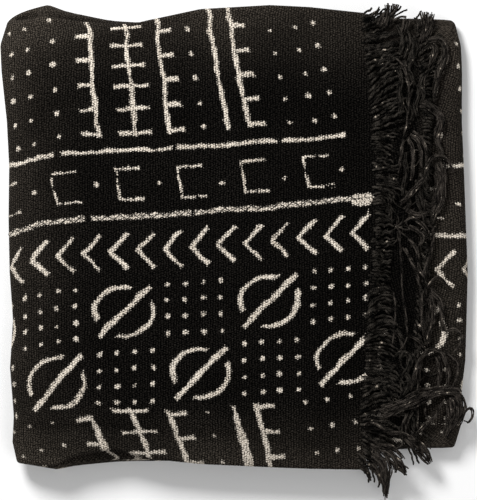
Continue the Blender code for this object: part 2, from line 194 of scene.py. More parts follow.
def settle(x, y, z, share, inset, cut):
    """Move points of the even stack to where the uneven one has them."""
    back = side("under_back", x) * (1 - share) + side("top_back", x) * share
    front = side("under_front", x) * (1 - share) + side("top_front", x) * share
    new_y = (y + (back - inset - HALF_DEPTH) * ease(y, SIDE_EASE)
             + (front + inset + HALF_DEPTH) * ease(-y, SIDE_EASE))
    at_top = (end("top_end", y) - TOP_END_X) * ease(x, TOP_END_EASE)
    at_lower = (end("lower_end", y) - LOWER_END_X) * ease(x, RIGHT_EASE)
    at_fold = (end("right", y) - RIGHT_EDGE_X) * ease(x, RIGHT_EASE)
    new_x = (x + (end("left", y) - LEFT_EDGE_X) * (1 - ease(x, LEFT_EASE))
             + np.where(cut == 1, at_top, np.where(cut == 2, at_lower, at_fold)))
    return np.stack([new_x, new_y, z * (1 + lift(new_x, new_y))], axis=-1)


print("swells:", len(SWELLS), "creases:", len(CREASES))

# %% [markdown]
# ## The path along the length
#
# A folded bundle is easiest to make as one long walk: along the top from its cut end, round
# the thick outer fold, back underneath, round the right fold, and so on to the other cut
# end. Each stop on the walk holds its place, which way the painted face looks, and how much
# it belongs to the top layer. Stops are close where the eye goes and far apart inside.

# %% Walk the path
TOP, LOWER = 1, 2          # which cut end a flat run leads to, 0 for none
FACE_STEP, UNDER_STEP, EDGE_STEP, HIDDEN_STEP = .0025, .0028, .0040, .0085
TUCK = .0015               # how far the sides of a bundle lie inside those round it


def flat(level, start, stop, step, cut=0, share=0.0, inset=0.0):
    """Stops along a flat run on one level."""
    count = max(int(round(abs(stop - start) / step)), 1)
    facing = 1.0 if stop < start else -1.0
    return [(x, LEVELS[level], 0.0, facing, share, inset, cut)
            for x in np.linspace(start, stop, count + 1)]


def turn(centre, reach, rise, angles, facing, steps, shares=(0, 0), insets=(0, 0)):
    """Stops round a fold, from one angle to another in degrees."""
    stops = []
    for step in range(1, steps):
        way = step / steps
        angle = math.radians(angles[0] + (angles[1] - angles[0]) * way)
        across, up = math.cos(angle), math.sin(angle)
        length = math.hypot(across / reach, up / rise)
        eased = float(ease(way, (0.0, 1.0)))
        stops.append((centre[0] + reach * across, centre[1] + rise * up,
                      facing * across / reach / length, facing * up / rise / length,
                      shares[0] + (shares[1] - shares[0]) * eased,
                      insets[0] + (insets[1] - insets[0]) * way, 0))
    return stops


def walk():
    """All stops of the path, from the top cut end to the one under it."""
    small = BUNDLE_PITCH / 2
    stops = flat(3, TOP_END_X, OUTER_FOLD_X, FACE_STEP, cut=TOP, share=1.0)
    stops += turn((OUTER_FOLD_X, (LEVELS[0] + LEVELS[3]) / 2), OUTER_FOLD_REACH, 3 * small,
                  (90, 270), 1, 34, (1.0, 0.0))
    stops += flat(0, OUTER_FOLD_X, RIGHT_FOLD_X - .03, HIDDEN_STEP)
    stops += flat(0, RIGHT_FOLD_X - .03, RIGHT_FOLD_X, EDGE_STEP)[1:]
    stops += turn((RIGHT_FOLD_X, (LEVELS[0] + LEVELS[1]) / 2), small, small, (-90, 90), 1, 12,
                  insets=(0, TUCK))
    stops += flat(1, RIGHT_FOLD_X, .095, UNDER_STEP, inset=TUCK)
    stops += flat(1, .095, INNER_FOLD_X, HIDDEN_STEP, inset=TUCK)[1:]
    stops += turn((INNER_FOLD_X, (LEVELS[1] + LEVELS[2]) / 2), small, small, (270, 90), -1, 10,
                  insets=(TUCK, 2 * TUCK))
    stops += flat(2, INNER_FOLD_X, LOWER_END_X - .05, HIDDEN_STEP, cut=LOWER, inset=2 * TUCK)
    stops += flat(2, LOWER_END_X - .05, LOWER_END_X, EDGE_STEP, cut=LOWER, inset=2 * TUCK)[1:]
    return np.array(stops)


PATH = walk()

# %% [markdown]
# ## The section across the width
#
# Across the width the cloth makes an S: the first strip lies inside, the second turns over
# the back fold onto the face, the third runs down the face and round the front fold, and
# the fourth lies in the middle. Two half circles join the three flat stretches, so the
# section is exact at any distance v across the flat cloth.

# %% Fold the section and place points on it
def fold_places(seam_y):
    """The distance v where each strip and each fold begins."""
    back_end = 2 * STRIP_WIDTH - (BACK_FOLD_Y - seam_y)
    front_start = 2 * STRIP_WIDTH + (seam_y - FRONT_FOLD_Y)
    return {"edge_1": 0 * seam_y, "seam_1": STRIP_WIDTH + 0 * seam_y,
            "back_start": back_end - math.pi * LAYER_PITCH, "back_end": back_end,
            "seam_2": 2 * STRIP_WIDTH + 0 * seam_y, "front_start": front_start,
            "front_end": front_start + math.pi * LAYER_PITCH / 2,
            "seam_3": 3 * STRIP_WIDTH + 0 * seam_y, "edge_2": 4 * STRIP_WIDTH + 0 * seam_y}


def fold_across(v, at):
    """The y, the offset towards the face, and the cloth's own normal, for distances v."""
    small = LAYER_PITCH / 2
    back = -math.pi / 2 + (v - at["back_start"]) / LAYER_PITCH
    front = math.pi / 2 + (v - at["front_start"]) / small
    where = [v <= at["back_start"], v < at["back_end"],
             v <= at["front_start"], v < at["front_end"]]
    one, none = np.ones_like(v), np.zeros_like(v)
    y = np.select(where, [BACK_FOLD_Y - at["back_start"] + v,
                          BACK_FOLD_Y + LAYER_PITCH * np.cos(back),
                          BACK_FOLD_Y - v + at["back_end"],
                          FRONT_FOLD_Y + small * np.cos(front)],
                  FRONT_FOLD_Y + v - at["front_end"])
    offset = np.select(where, [-LAYER_PITCH * one, LAYER_PITCH * np.sin(back), LAYER_PITCH * one,
                               small + small * np.sin(front)], none)
    normal_y = np.select(where, [none, np.cos(back), none, np.cos(front)], none)
    normal_out = np.select(where, [-one, np.sin(back), one, np.sin(front)], -one)
    return y, offset, normal_y, normal_out


def seam_height(stops):
    """Where the middle seam crosses each stop."""
    on_top = np.interp(stops[:, 0], SEAM_X, SEAM_Y)
    return UNDER_SEAM_Y + (on_top - UNDER_SEAM_Y) * stops[:, 4]


def cloth_points(stops, v, height):
    """Points at stops by v, at a height above the middle of the cloth's thickness."""
    at = {name: value[:, None] for name, value in fold_places(seam_height(stops)).items()}
    y, offset, normal_y, normal_out = fold_across(v, at)
    y = y + height * normal_y
    offset = offset + height * normal_out
    x = stops[:, 0:1] + offset * stops[:, 2:3]
    z = stops[:, 1:2] + offset * stops[:, 3:4]
    return settle(x, y, z, stops[:, 4:5], stops[:, 5:6], stops[:, 6:7])

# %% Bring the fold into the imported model's place
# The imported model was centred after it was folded, so everything here moves with it.
CENTRE = np.array((0.00269, -0.01231, 0.0))


def placed(points):
    """From the fold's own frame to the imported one."""
    return points - CENTRE


# %% [markdown]
# ## Distances along the cloth
#
# The signs were painted on the flat cloth, so their places are measured along it and not
# through the air: s runs along the length and t across it from the middle seam. Measured
# on the folded surface itself, they carry the painting round every fold without a stretch.

# %% Measure s and t over the whole throw
SEAM_COLUMN = 340
ACROSS = np.linspace(0.0, 4 * STRIP_WIDTH, 2 * SEAM_COLUMN + 1)
painted = cloth_points(PATH, np.repeat(ACROSS[None, :], len(PATH), 0), THICKNESS / 2)
steps_across = np.linalg.norm(np.diff(painted, axis=1), axis=2)
run_across = np.concatenate([np.zeros((len(PATH), 1)), np.cumsum(steps_across, axis=1)], axis=1)
T_TABLE = (run_across[:, SEAM_COLUMN:SEAM_COLUMN + 1] - run_across) * 1000
steps_along = np.linalg.norm(np.diff(painted, axis=0), axis=2)
run_along = np.concatenate([np.zeros((1, len(ACROSS))), np.cumsum(steps_along, axis=0)], axis=0)
S_TABLE = (painted[0:1, :, 0] - run_along) * 1000

# Where the lower layer shows at the right, each row of signs has its own place along it
LOWER_T = (-300, -163, -159.5, -50.5, -46.5, -12, 8, 50, 64)
LOWER_SHIFT = (832, 832, 738, 738, 774, 774, 784.5, 784.5, 802)
LOWER_SPREAD = 1.055       # the signs of the lower layer stand a little closer together
# Lengths of path over which that layer begins and ends, and the one at its right fold
LOWER_FROM, LOWER_TO, LOWER_FOLD_RUN = (.40, .64), (.83, 1.0), .722
stop_run = np.concatenate([[0], np.cumsum(np.hypot(*np.diff(PATH[:, :2], axis=0).T))])
at_lower = (ease(stop_run, LOWER_FROM) * (1 - ease(stop_run, LOWER_TO)))[:, None]
# The threads keep to the cloth as it was woven, so they have tables of their own
THREAD_T, THREAD_S = T_TABLE, S_TABLE
T_TABLE = T_TABLE * np.where(T_TABLE > 0, 1 + (LOWER_SPREAD - 1) * at_lower, 1.0)
wanted = painted[:, :, 0] * 1000 - np.interp(T_TABLE, LOWER_T, LOWER_SHIFT)
fold_row = int(np.argmin(np.abs(stop_run - LOWER_FOLD_RUN)))
S_TABLE = S_TABLE + (wanted - S_TABLE)[fold_row:fold_row + 1] * at_lower
print("the cloth runs from s =", round(S_TABLE.max()), "to", round(S_TABLE.min()), "mm")

# %% [markdown]
# ## A strip of cloth as a thin sheet
#
# Each strip is a grid of points on its painted side, the same grid on its back, and a thin
# rim between the two. Solidify would also thicken a single sheet, but here both sides come
# from the same section, so they stay an even 2 mm apart round the tight folds.

# %% Helpers for the strips
# Each stretch of a strip: the fold place where it starts, the one where it ends, its columns
STRETCHES = {
    "strip_1": (("edge_1", "seam_1", 34),),
    "strip_2": (("seam_1", "back_start", 12), ("back_start", "back_end", 12),
                ("back_end", "seam_2", 66)),
    "strip_3": (("seam_2", "front_start", 86), ("front_start", "front_end", 8),
                ("front_end", "seam_3", 12)),
    "strip_4": (("seam_3", "edge_2", 34),),
}
BACK_OFFSET = 5000.0       # added to t on the back of the cloth, which isn't painted
BARE_FROM_Y = 0.174        # behind this the lower layers show no painting
FACE_RUN = 0.345           # the length of path, from the top cut end, that shows from above
FACE_ROW, REST_ROW, BACK_ROW = (.010, .500), (.510, .745), (.755, .955)
RIM_ROWS = ((.962, .970), (.974, .982), (.986, .992))


def strip_columns(name, stops):
    """The distances v of one strip's columns at every stop."""
    places = fold_places(seam_height(stops))
    parts = []
    for start, stop, count in STRETCHES[name]:
        share = np.linspace(0, 1, count + 1)[None, :]
        part = places[start][:, None] * (1 - share) + places[stop][:, None] * share
        parts.append(part if not parts else part[:, 1:])
    v = np.concatenate(parts, axis=1)
    if name != "strip_1":
        v[:, 0] += SEAM_GAP / 2
    if name != "strip_4":
        v[:, -1] -= SEAM_GAP / 2
    return v


def grid_faces(rows, columns, start=0):
    """Corner numbers of the faces of a grid of points."""
    first = (np.arange(rows - 1)[:, None] * columns + np.arange(columns - 1)[None, :]).ravel()
    first += start
    return np.stack([first, first + 1, first + columns + 1, first + columns], axis=1)


def within(row, share):
    """A place in a band of the bake's map."""
    return row[0] + (row[1] - row[0]) * share


def new_piece(name, points, faces, maps, material, sharp=None):
    """A mesh object from points, faces and UV maps that hold a row for each corner."""
    mesh = bpy.data.meshes.new(name)
    mesh.from_pydata(points.reshape(-1, 3).tolist(), [], faces)
    for map_name, values in maps.items():
        layer = mesh.uv_layers.new(name=map_name)
        layer.uv.foreach_set("vector", np.asarray(values, np.float32).ravel())
    mesh.materials.append(material)
    mesh.shade_smooth()
    if sharp:
        mesh.set_sharp_from_angle(angle=math.radians(sharp))
    piece = bpy.data.objects.new(name, mesh)
    bpy.context.scene.collection.objects.link(piece)
    mesh.calc_loop_triangles()
    print(name, "has", len(mesh.loop_triangles), "triangles")
    return piece


def make_strip(name, material):
    """One strip of cloth on all the folds of the throw."""
    v = strip_columns(name, PATH)
    rows, columns = v.shape
    t, s, thread_t, thread_s = (
        np.array([np.interp(v[row], ACROSS, table[row]) for row in range(rows)])
        for table in (T_TABLE, S_TABLE, THREAD_T, THREAD_S))
    sides = [placed(cloth_points(PATH, v, height)).reshape(-1, 3)
             for height in (THICKNESS / 2, -THICKNESS / 2)]
    count = rows * columns
    face = grid_faces(rows, columns)
    back = grid_faces(rows, columns, count)[:, ::-1]
    index = np.arange(count).reshape(rows, columns)
    rims = []
    for line, forward in ((index[:, 0], True), (index[:, -1], False),
                          (index[0], False), (index[-1], True)):
        near, far = (line[:-1], line[1:]) if forward else (line[1:], line[:-1])
        rims.append(np.stack([near, far, far + count, near + count], axis=1))
    faces = np.concatenate([face, back] + rims)
    # The painting's own map, in millimetres of flat cloth
    pattern = np.stack([np.concatenate([s.ravel(), s.ravel()]),
                        np.concatenate([t.ravel(), t.ravel() + BACK_OFFSET])], axis=1)
    pattern_map = pattern[faces]
    thread_map = np.stack([thread_s.ravel(), thread_t.ravel()], axis=1)[faces % count]
    is_rim = np.arange(len(faces)) >= 2 * len(face)
    pattern_map[is_rim, :, 1] = pattern_map[is_rim, :1, 1] % 1.0 + BACK_OFFSET
    # Behind the top layer's back fold the lower layers show none of their painting
    middle = sides[0][face].mean(axis=1)
    bare = middle[:, 2] < LEVELS[3] - BUNDLE_HALF * .6
    bare &= middle[:, 1] > BARE_FROM_Y - CENTRE[1]
    pattern_map[:len(face)][bare] += (0.0, BACK_OFFSET)
    # The bake's map: three bands, with the rim in narrow bands above them
    turn_row = int(np.argmax(stop_run > FACE_RUN))
    last, turned = stop_run[-1], stop_run[turn_row]
    across = np.tile(np.linspace(0, 1, columns), rows)
    u_face, u_rest, u_back = (
        np.repeat(share * .98 + .01, columns)
        for share in (stop_run / turned, (stop_run - turned) / (last - turned), stop_run / last))
    on_face = (np.arange(len(face)) < turn_row * (columns - 1))[:, None]
    bake = [np.stack([np.where(on_face, u_face[face], u_rest[face]),
                      np.where(on_face, within(FACE_ROW, across[face]),
                               within(REST_ROW, across[face]))], axis=2),
            np.stack([u_back[back - count], within(BACK_ROW, across[back - count])], axis=2)]
    for number, rim in enumerate(rims):
        near = rim % count
        u, band = ((u_back[near], RIM_ROWS[number]) if number < 2 else
                   (across[near] * .45 + (.01 if number == 2 else .51), RIM_ROWS[2]))
        bake.append(np.stack([u, np.where(rim >= count, band[1], band[0])], axis=2))
    return new_piece(name + "_cloth", np.concatenate(sides), faces.tolist(),
                     {"Pattern": pattern_map, "Threads": thread_map,
                      "OFBake": np.concatenate(bake)}, material, sharp=40)

# %% [markdown]
# ## Floor, light and camera
#
# The throw was photographed from straight above on white, in light so soft that it casts
# hardly a shadow. A pale floor and a bright even sky give that, and one large lamp above
# gives the folds and the weave a side to catch. A long lens from two metres up keeps the
# edges of the stack from leaning outward.

# %% Set the studio
PIXEL = 0.00084            # metres on the cloth that one pixel of the photograph shows
PHOTO_SIZE, PHOTO_MIDDLE = (477, 500), 237
HEIGHT = 2.0               # of the camera above the throw, in metres


def new_material(name):
    """A material with nodes, and its shader."""
    material = bpy.data.materials.new(name)
    material.use_nodes = True
    return material, material.node_tree.nodes["Principled BSDF"]


def from_photo(px, py):
    """The fold's own x and y of a place in the photograph."""
    return (px - PHOTO_MIDDLE) * PIXEL, (PHOTO_MIDDLE - py) * PIXEL


def make_floor():
    size = 3.0
    mesh = bpy.data.meshes.new("floor")
    mesh.from_pydata([(-size, -size, 0), (size, -size, 0), (size, size, 0), (-size, size, 0)],
                     [], [(0, 1, 2, 3)])
    material, shader = new_material("pale_floor")
    shader.inputs["Base Color"].default_value = (.90, .90, .90, 1)
    shader.inputs["Roughness"].default_value = .9
    mesh.materials.append(material)
    floor = bpy.data.objects.new("floor", mesh)
    bpy.context.scene.collection.objects.link(floor)


def make_lamp(name, place, aim, size, power):
    lamp = bpy.data.lights.new(name, "AREA")
    lamp.shape = "DISK"
    lamp.size = size
    lamp.energy = power
    thing = bpy.data.objects.new(name, lamp)
    thing.location = place
    thing.rotation_euler = (Vector(aim) - Vector(place)).to_track_quat("-Z", "Y").to_euler()
    bpy.context.scene.collection.objects.link(thing)


def make_camera():
    camera = bpy.data.cameras.new("camera")
    camera.sensor_width = 36.0
    camera.clip_end = 20.0
    camera.lens = camera.sensor_width * HEIGHT / (PHOTO_SIZE[1] * PIXEL)
    thing = bpy.data.objects.new("camera", camera)
    x, y = from_photo(PHOTO_SIZE[0] / 2, PHOTO_SIZE[1] / 2)
    thing.location = (x - CENTRE[0], y - CENTRE[1], cad_box[1].z + HEIGHT)
    bpy.context.scene.collection.objects.link(thing)
    bpy.context.scene.camera = thing
    print("lens in mm:", round(camera.lens, 1), "camera at", [round(c, 4) for c in thing.location])


sky = bpy.data.worlds.new("sky")
sky.use_nodes = True
sky.node_tree.nodes["Background"].inputs["Color"].default_value = (1, 1, 1, 1)
sky.node_tree.nodes["Background"].inputs["Strength"].default_value = .38
bpy.context.scene.world = sky
bpy.context.scene.view_settings.view_transform = "Standard"
make_floor()
make_lamp("key", (-.65, 1.05, 1.15), (0, 0, 0), .6, 32)
make_lamp("fill", (.9, -.9, 1.5), (0, 0, 0), 1.2, 8)
make_camera()

# %% [markdown]
# ## Painting with distances
#
# The cream signs are strokes of even width, set out in rows. A picture of them would blur
# and couldn't be made here, so each stroke is worked out by shader nodes as a distance: how
# far a point of the cloth lies from the stroke's middle. Less than half a stroke is paint.
# A small class lets the distances be written as sums, and each sum becomes a node.

# %% Write node sums as plain arithmetic
FAR = 99.0                 # a distance that no stroke reaches


class Field:
    """A number that differs from place to place on the cloth."""

    tree = None

    def __init__(self, socket):
        self.socket = socket

    @staticmethod
    def node(operation, *values):
        """A sum of fields and numbers, as one node."""
        node = Field.tree.nodes.new("ShaderNodeMath")
        node.operation = operation
        for socket, value in zip(node.inputs, values):
            if isinstance(value, Field):
                Field.tree.links.new(value.socket, socket)
            else:
                socket.default_value = value
        return Field(node.outputs[0])

    def __add__(self, other):
        return Field.node("ADD", self, other)

    def __sub__(self, other):
        return Field.node("SUBTRACT", self, other)

    def __rsub__(self, other):
        return Field.node("SUBTRACT", other, self)

    def __mul__(self, other):
        return Field.node("MULTIPLY", self, other)

    __radd__, __rmul__ = __add__, __mul__

    def __truediv__(self, other):
        return Field.node("DIVIDE", self, other)

    def __abs__(self):
        return Field.node("ABSOLUTE", self)


def nearest(*fields):
    """The union of strokes: the least distance."""
    result = fields[0]
    for field in fields[1:]:
        result = Field.node("MINIMUM", result, field)
    return result


def only_where(*fields):
    """What strokes have in common: the greatest distance."""
    result = fields[0]
    for field in fields[1:]:
        result = Field.node("MAXIMUM", result, field)
    return result


def repeat(field, pitch):
    """Fold a distance so that it repeats, and runs from minus half a pitch to half a pitch."""
    return Field.node("WRAP", field, pitch / 2, -pitch / 2)


def bar(x, y, half_x, half_y):
    """The distance from a straight stroke."""
    return only_where(abs(x) - half_x, abs(y) - half_y)


def dot(x, y, radius):
    """The distance from a round spot."""
    return Field.node("SQRT", x * x + y * y) - radius


def pick(choice, one, other):
    """One where choice is 1, the other where it is 0."""
    return other + choice * (one - other)


def below(field, bound):
    """1 below a bound, 0 above it."""
    return Field.node("LESS_THAN", field, bound)


def limit(field, low, high):
    """Keep a field between two values."""
    return Field.node("MINIMUM", Field.node("MAXIMUM", field, low), high)


def ramp(field, low, high):
    """0 below low, 1 above high and straight between them."""
    return limit((field - low) / (high - low), 0.0, 1.0)


def mottle(place, size, detail=2.0, roughness=.5):
    """Soft random noise from 0 to 1, with blots about size millimetres across."""
    node = Field.tree.nodes.new("ShaderNodeTexNoise")
    node.noise_dimensions = "2D"
    Field.tree.links.new(place, node.inputs["Vector"])
    node.inputs["Scale"].default_value = 1.0 / size
    node.inputs["Detail"].default_value = detail
    node.inputs["Roughness"].default_value = roughness
    return Field(node.outputs["Fac"])


print("strokes are drawn as distances in millimetres of flat cloth")

# %% [markdown]
# ## The rows of signs
#
# From the middle seam upward the cloth shows a painted line, a row of open squares, another
# line and a tall band of combs and dots; downward a row of chevrons, then slashed rings and
# squares of dots, and the next band of combs. These are traditional forms that repeat, so
# each is drawn once from its own measures and repeated at its pitch.

# %% Measures of the signs, in millimetres of flat cloth
STROKE, THIN_STROKE, SEAM_STROKE = 3.6, 2.3, 4.1
# The s of the cut side of each row: upper line, seam line and squares
LINE_END, SEAM_END, SQUARES_END = 92.4, 96.0, 97.0
LINE_T, LINE_DROP = 54.8, .012
LINE_GAPS = ((-152.0, 2.6), (-52.4, 1.8), (35.7, 1.8))     # s of each gap and half its length
SEAM_GAPS = ((-126.0, 2.6), (-38.0, 1.0))
BLOB_S, BLOB_T, BLOB_SQUEEZE, BLOB_RADIUS = 105.0, -1.6, .52, 5.5
SQUARE_T, SQUARE_PITCH, SQUARE_S = 28.0, 53.0, -155.8
SQUARE_WIDE, SQUARE_HALF, SQUARE_LEAN, SQUARE_DOT = 22.4, 14.0, .16, 36.6
# Where a row drifts: the two s between which it slips, and by how much
SQUARES_SLIP, DOTS_SLIP, LAST_SQUARE = (-110.0, -80.0, 1.6), (-50.0, -20.0, 3.8), (60.0, 80.0, 1.0)
CHEVRON_T, CHEVRON_PITCH, CHEVRON_TIP_S = -29.0, 22.6, -176.8
CHEVRON_REACH, CHEVRON_HALF = 13.6, 14.2
RING_ROWS_T, RING_PITCH, RING_S, RING_SHIFT = (-79.5, -135.0), 122.4, -95.8, 64.7
# A ring's half width and half height, and how much of its arcs the gap at the slash takes
RING_WIDE, RING_HIGH, RING_CUT = 24.1, 20.8, 9.8
# A slash's half length and its tilt in degrees, and how far a row climbs in a millimetre
SLASH_HALF, SLASH_TURN, ROW_CLIMB = 31.0, 45.2, .08
DOT_PITCH, DOT_RADIUS, DOTS_LEFT = (15.0, 13.9), 2.0, 2.0
BAND_PITCH, BAND_TOP = 451.0, 180.0     # t after which the whole design begins again
COMB_PITCH, COMB_LEAD, COMB_ROW, COMBS_END = 227.6, 80.0, 21.0, 206.0
COMB_S, COMB_TOP, COMB_LOW = -123.1, 112.0, 70.8
# The next band: how far its s is shifted, the t of its middle and of its end, and its sizes
NEXT_S, NEXT_T, NEXT_LOW, NEXT_WIDE, NEXT_HIGH = 114.2, -190.0, -168.0, 1.092, .955
# The lean of the upright strokes: its growth along s, its value at s = 0, and its limits
LEAN, NEXT_LEAN = (.00062, .189, .105, .25), (-.00126, .276, .15, .50)
COMB_DOTS, COMB_LEFT, LADDER = (-66.5, -50.0, -32.3, 87.4), 0.0, 31.5
COMB_RIGHT, PLAIN, TOOTH, RUNG = (59.3, 124.4), 107.6, 12.6, 14.0
DOTS_DRIFT, SHORT_COLUMNS = (-60.0, 20.0), 94.0


def slip(s, row):
    """How far a row has slipped at s."""
    return ramp(s, row[0], row[1]) * row[2]


def line_signs(s, t, skips):
    """The two long lines, the blob that ends the seam line, and the squares between."""
    seam = only_where(abs(t) - SEAM_STROKE / 2, s - SEAM_END)
    for at, half in SEAM_GAPS:
        seam = only_where(seam, half - abs(s - at))
    blob = dot((s - BLOB_S) * BLOB_SQUEEZE, t - BLOB_T, BLOB_RADIUS)
    upper = only_where(abs(t - LINE_T + s * LINE_DROP) - STROKE / 2 + .1, s - LINE_END)
    for at, half in LINE_GAPS:
        upper = only_where(upper, half - abs(s - at))
    y = t - SQUARE_T + slip(s, SQUARES_SLIP)
    x = repeat(s - (SQUARE_S + SQUARE_PITCH / 2) + SQUARE_LEAN * y, SQUARE_PITCH)
    x = x + SQUARE_PITCH / 2
    late = slip(s, LAST_SQUARE)
    up = abs(y + late * 1.2)
    half = THIN_STROKE / 2
    square = nearest(bar(x - half, up, half, SQUARE_HALF),
                     bar(x - SQUARE_WIDE / 2, up - (SQUARE_HALF - half), SQUARE_WIDE / 2, half),
                     dot(x - SQUARE_DOT + late * 5.4, y + slip(s, DOTS_SLIP) - late * 2.4,
                         DOT_RADIUS))
    return nearest(seam, blob, upper, only_where(square, s - SQUARES_END) + skips)


def chevron_signs(s, t):
    """A row of arrow heads that point left."""
    x = repeat(s - CHEVRON_TIP_S - CHEVRON_PITCH / 2, CHEVRON_PITCH) + CHEVRON_PITCH / 2 - 2.0
    up = abs(t - CHEVRON_T)
    length = math.hypot(CHEVRON_REACH, CHEVRON_HALF)
    cos, sin = CHEVRON_REACH / length, CHEVRON_HALF / length
    return bar(x * cos + up * sin - length / 2, x * sin - up * cos, length / 2 + 1.2, STROKE / 2)


def ring_signs(s, t):
    """Two rows of slashed rings, with a square of sixteen dots between each two."""
    lower = below(t, sum(RING_ROWS_T) / 2)
    along = s - RING_S - RING_SHIFT * lower
    x = repeat(along, RING_PITCH)
    up = t - pick(lower, *reversed(RING_ROWS_T))
    y = up + ROW_CLIMB * x
    cos, sin = math.cos(math.radians(SLASH_TURN)), math.sin(math.radians(SLASH_TURN))
    beside, beyond = x * sin - y * cos, x * cos + y * sin
    ring = only_where(abs(dot(x * (RING_HIGH / RING_WIDE), y, RING_HIGH)) - STROKE / 2,
                      RING_CUT - abs(beside))
    slash = bar(beyond, beside, SLASH_HALF, STROKE / 2 + .5)
    g = repeat(along + DOTS_LEFT - RING_PITCH / 2, RING_PITCH)
    dots = dot(abs(abs(g) - DOT_PITCH[0]) - DOT_PITCH[0] / 2,
               abs(abs(up) - DOT_PITCH[1]) - DOT_PITCH[1] / 2, DOT_RADIUS)
    return nearest(ring, slash, dots)


def comb_signs(s, t):
    """The tall bands of combs, a ladder, a plain line and columns of dots, leaning a little."""
    lower = below(t, -50.0)
    lean, next_lean = (limit(s * grow + start, least, most)
                       for grow, start, least, most in (LEAN, NEXT_LEAN))
    along = pick(lower, (s + NEXT_S - next_lean * (NEXT_T - t)) / NEXT_WIDE,
                 s - COMB_S - lean * (COMB_TOP - t))
    x = Field.node("WRAP", along, COMB_PITCH - COMB_LEAD, -COMB_LEAD)
    r = pick(lower, (NEXT_LOW - t) * NEXT_HIGH, t - COMB_LOW)
    row = repeat(r, COMB_ROW)
    upper, right = 1.0 - lower, ramp(s, *DOTS_DRIFT)
    # The dots beside the combs stand off their rows and columns where a hand drifted
    aside = (3.2, 3.9 - right * 5.5, -.2, 0.0)
    sunk = (r * .06 + 1.6, r * .065 + 1.4, r * .04, 0.0)
    faint = lower * .4 + upper * right * below(SHORT_COLUMNS - r, 0.0) * FAR
    parts = [dot(x - at + upper * out, row + upper * down, DOT_RADIUS) + faint
             for at, out, down in zip(COMB_DOTS, aside, sunk)]
    wide = STROKE / 2 + .1
    drip = lower * limit(r, 0.0, 60.0) * .05       # wet paint spread toward the front fold
    parts += [abs(x - at) - (drip + wide if at in (COMB_LEFT, PLAIN) else wide)
              for at in (COMB_LEFT, *COMB_RIGHT, PLAIN)]
    teeth = [COMB_LEFT - TOOTH / 2] + [at + TOOTH / 2 for at in COMB_RIGHT]
    parts += [bar(x - at, row, TOOTH / 2, STROKE / 2) for at in teeth]
    rungs = pick(lower, (r + 4.7) * 1.17, r * (r * .0018 + 1.02))
    ladder = nearest(abs(x - LADDER) - wide,
                     bar(x - LADDER, repeat(rungs, COMB_ROW), RUNG, STROKE / 2))
    return only_where(nearest(only_where(nearest(*parts), -3.0 - r),
                              only_where(ladder, -3.0 - rungs)), along - COMBS_END)


print("signs: lines, squares, chevrons, rings and combs")

# %% [markdown]
# ## The cloth's material
#
# Mud cloth is plain weave in thick handspun cotton, dyed black with fermented mud. The mud
# sits on the threads, so a painted stroke has a ragged edge one thread wide and lets dark
# specks through. Weave, rags and specks are all worked out at the size of a thread, and the
# bump that raises the threads is the same field that paints shade into the gaps between them
# and highlight onto their tops.

# %% Make the mud cloth
WARP, WEFT = 2.2, 2.0      # the pitch of the threads in millimetres
LAST_PAINT_S = -1215.0     # the paint stops this far along, short of the lower cut end
# The black cloth, from the painted shade in the gaps to the painted highlight on the threads
CLOTH_DARK, CLOTH_LIGHT = (.0002, .0002, .0002), (.0290, .0256, .0222)
# The black as it is painted toward the folds: painted sheen with some wear
WORN_SHEEN_DARK, WORN_SHEEN_LIGHT = (.0100, .0084, .0068), (.2060, .1730, .1380)
CREAM_DARK, CREAM_LIGHT = (.30, .24, .175), (.94, .855, .74)
# The t below which chevrons end, and the middle and half height of the band that holds the
# rings and of the one between the combs
CHEVRONS_LOW, RINGS, BETWEEN_COMBS = -49.0, (-108.0, 54.5), (-48.0, 108.5)
# Where the painted sheen and the wear begin at the left, back and front folds, and the way over
# which they grow
WORN_SHEEN_LEFT, WORN_SHEEN_BACK, WORN_SHEEN_FRONT = (-107.0, -85.0), (122.0, 75.0), (-116.0, -60.0)
WORN_SHEEN_LOWER = (148.0, 166.0)             # the x over which the painted sheen and wear of the lower layer grow


def mix_colours(share, first, second):
    """Blend two colours, each a tuple or a socket, by a field."""
    node = Field.tree.nodes.new("ShaderNodeMix")
    node.data_type = "RGBA"
    Field.tree.links.new(share.socket, node.inputs[0])
    for socket, colour in ((node.inputs[6], first), (node.inputs[7], second)):
        if isinstance(colour, tuple):
            socket.default_value = (*colour, 1.0)
        else:
            Field.tree.links.new(colour, socket)
    return node.outputs[2]


def wave(field, pitch):
    """A swing from -1 to 1 that repeats at a pitch."""
    return Field.node("COSINE", field * (2 * math.pi / pitch))


def map_place(name):
    """The socket of a UV map."""
    node = Field.tree.nodes.new("ShaderNodeUVMap")
    node.uv_map = name
    return node.outputs["UV"]


def both_ways(socket):
    """A place's first two directions, as fields."""
    parts = Field.tree.nodes.new("ShaderNodeSeparateXYZ")
    Field.tree.links.new(socket, parts.inputs[0])
    return Field(parts.outputs[0]), Field(parts.outputs[1])


def finish_cotton(shader, colour, height, relief, rough, shine, sheen):
    """Connect colour, raised threads and roughness, and set the soft shine of cotton."""
    bump = Field.tree.nodes.new("ShaderNodeBump")
    bump.inputs["Strength"].default_value, bump.inputs["Distance"].default_value = relief
    for source, target in ((colour, shader.inputs["Base Color"]),
                           (height.socket, bump.inputs["Height"]),
                           (bump.outputs["Normal"], shader.inputs["Normal"]),
                           (rough.socket, shader.inputs["Roughness"])):
        Field.tree.links.new(source, target)
    shader.inputs["Specular IOR Level"].default_value = shine
    for quality, value in zip(("Weight", "Roughness", "Tint"), sheen):
        shader.inputs["Sheen " + quality].default_value = value


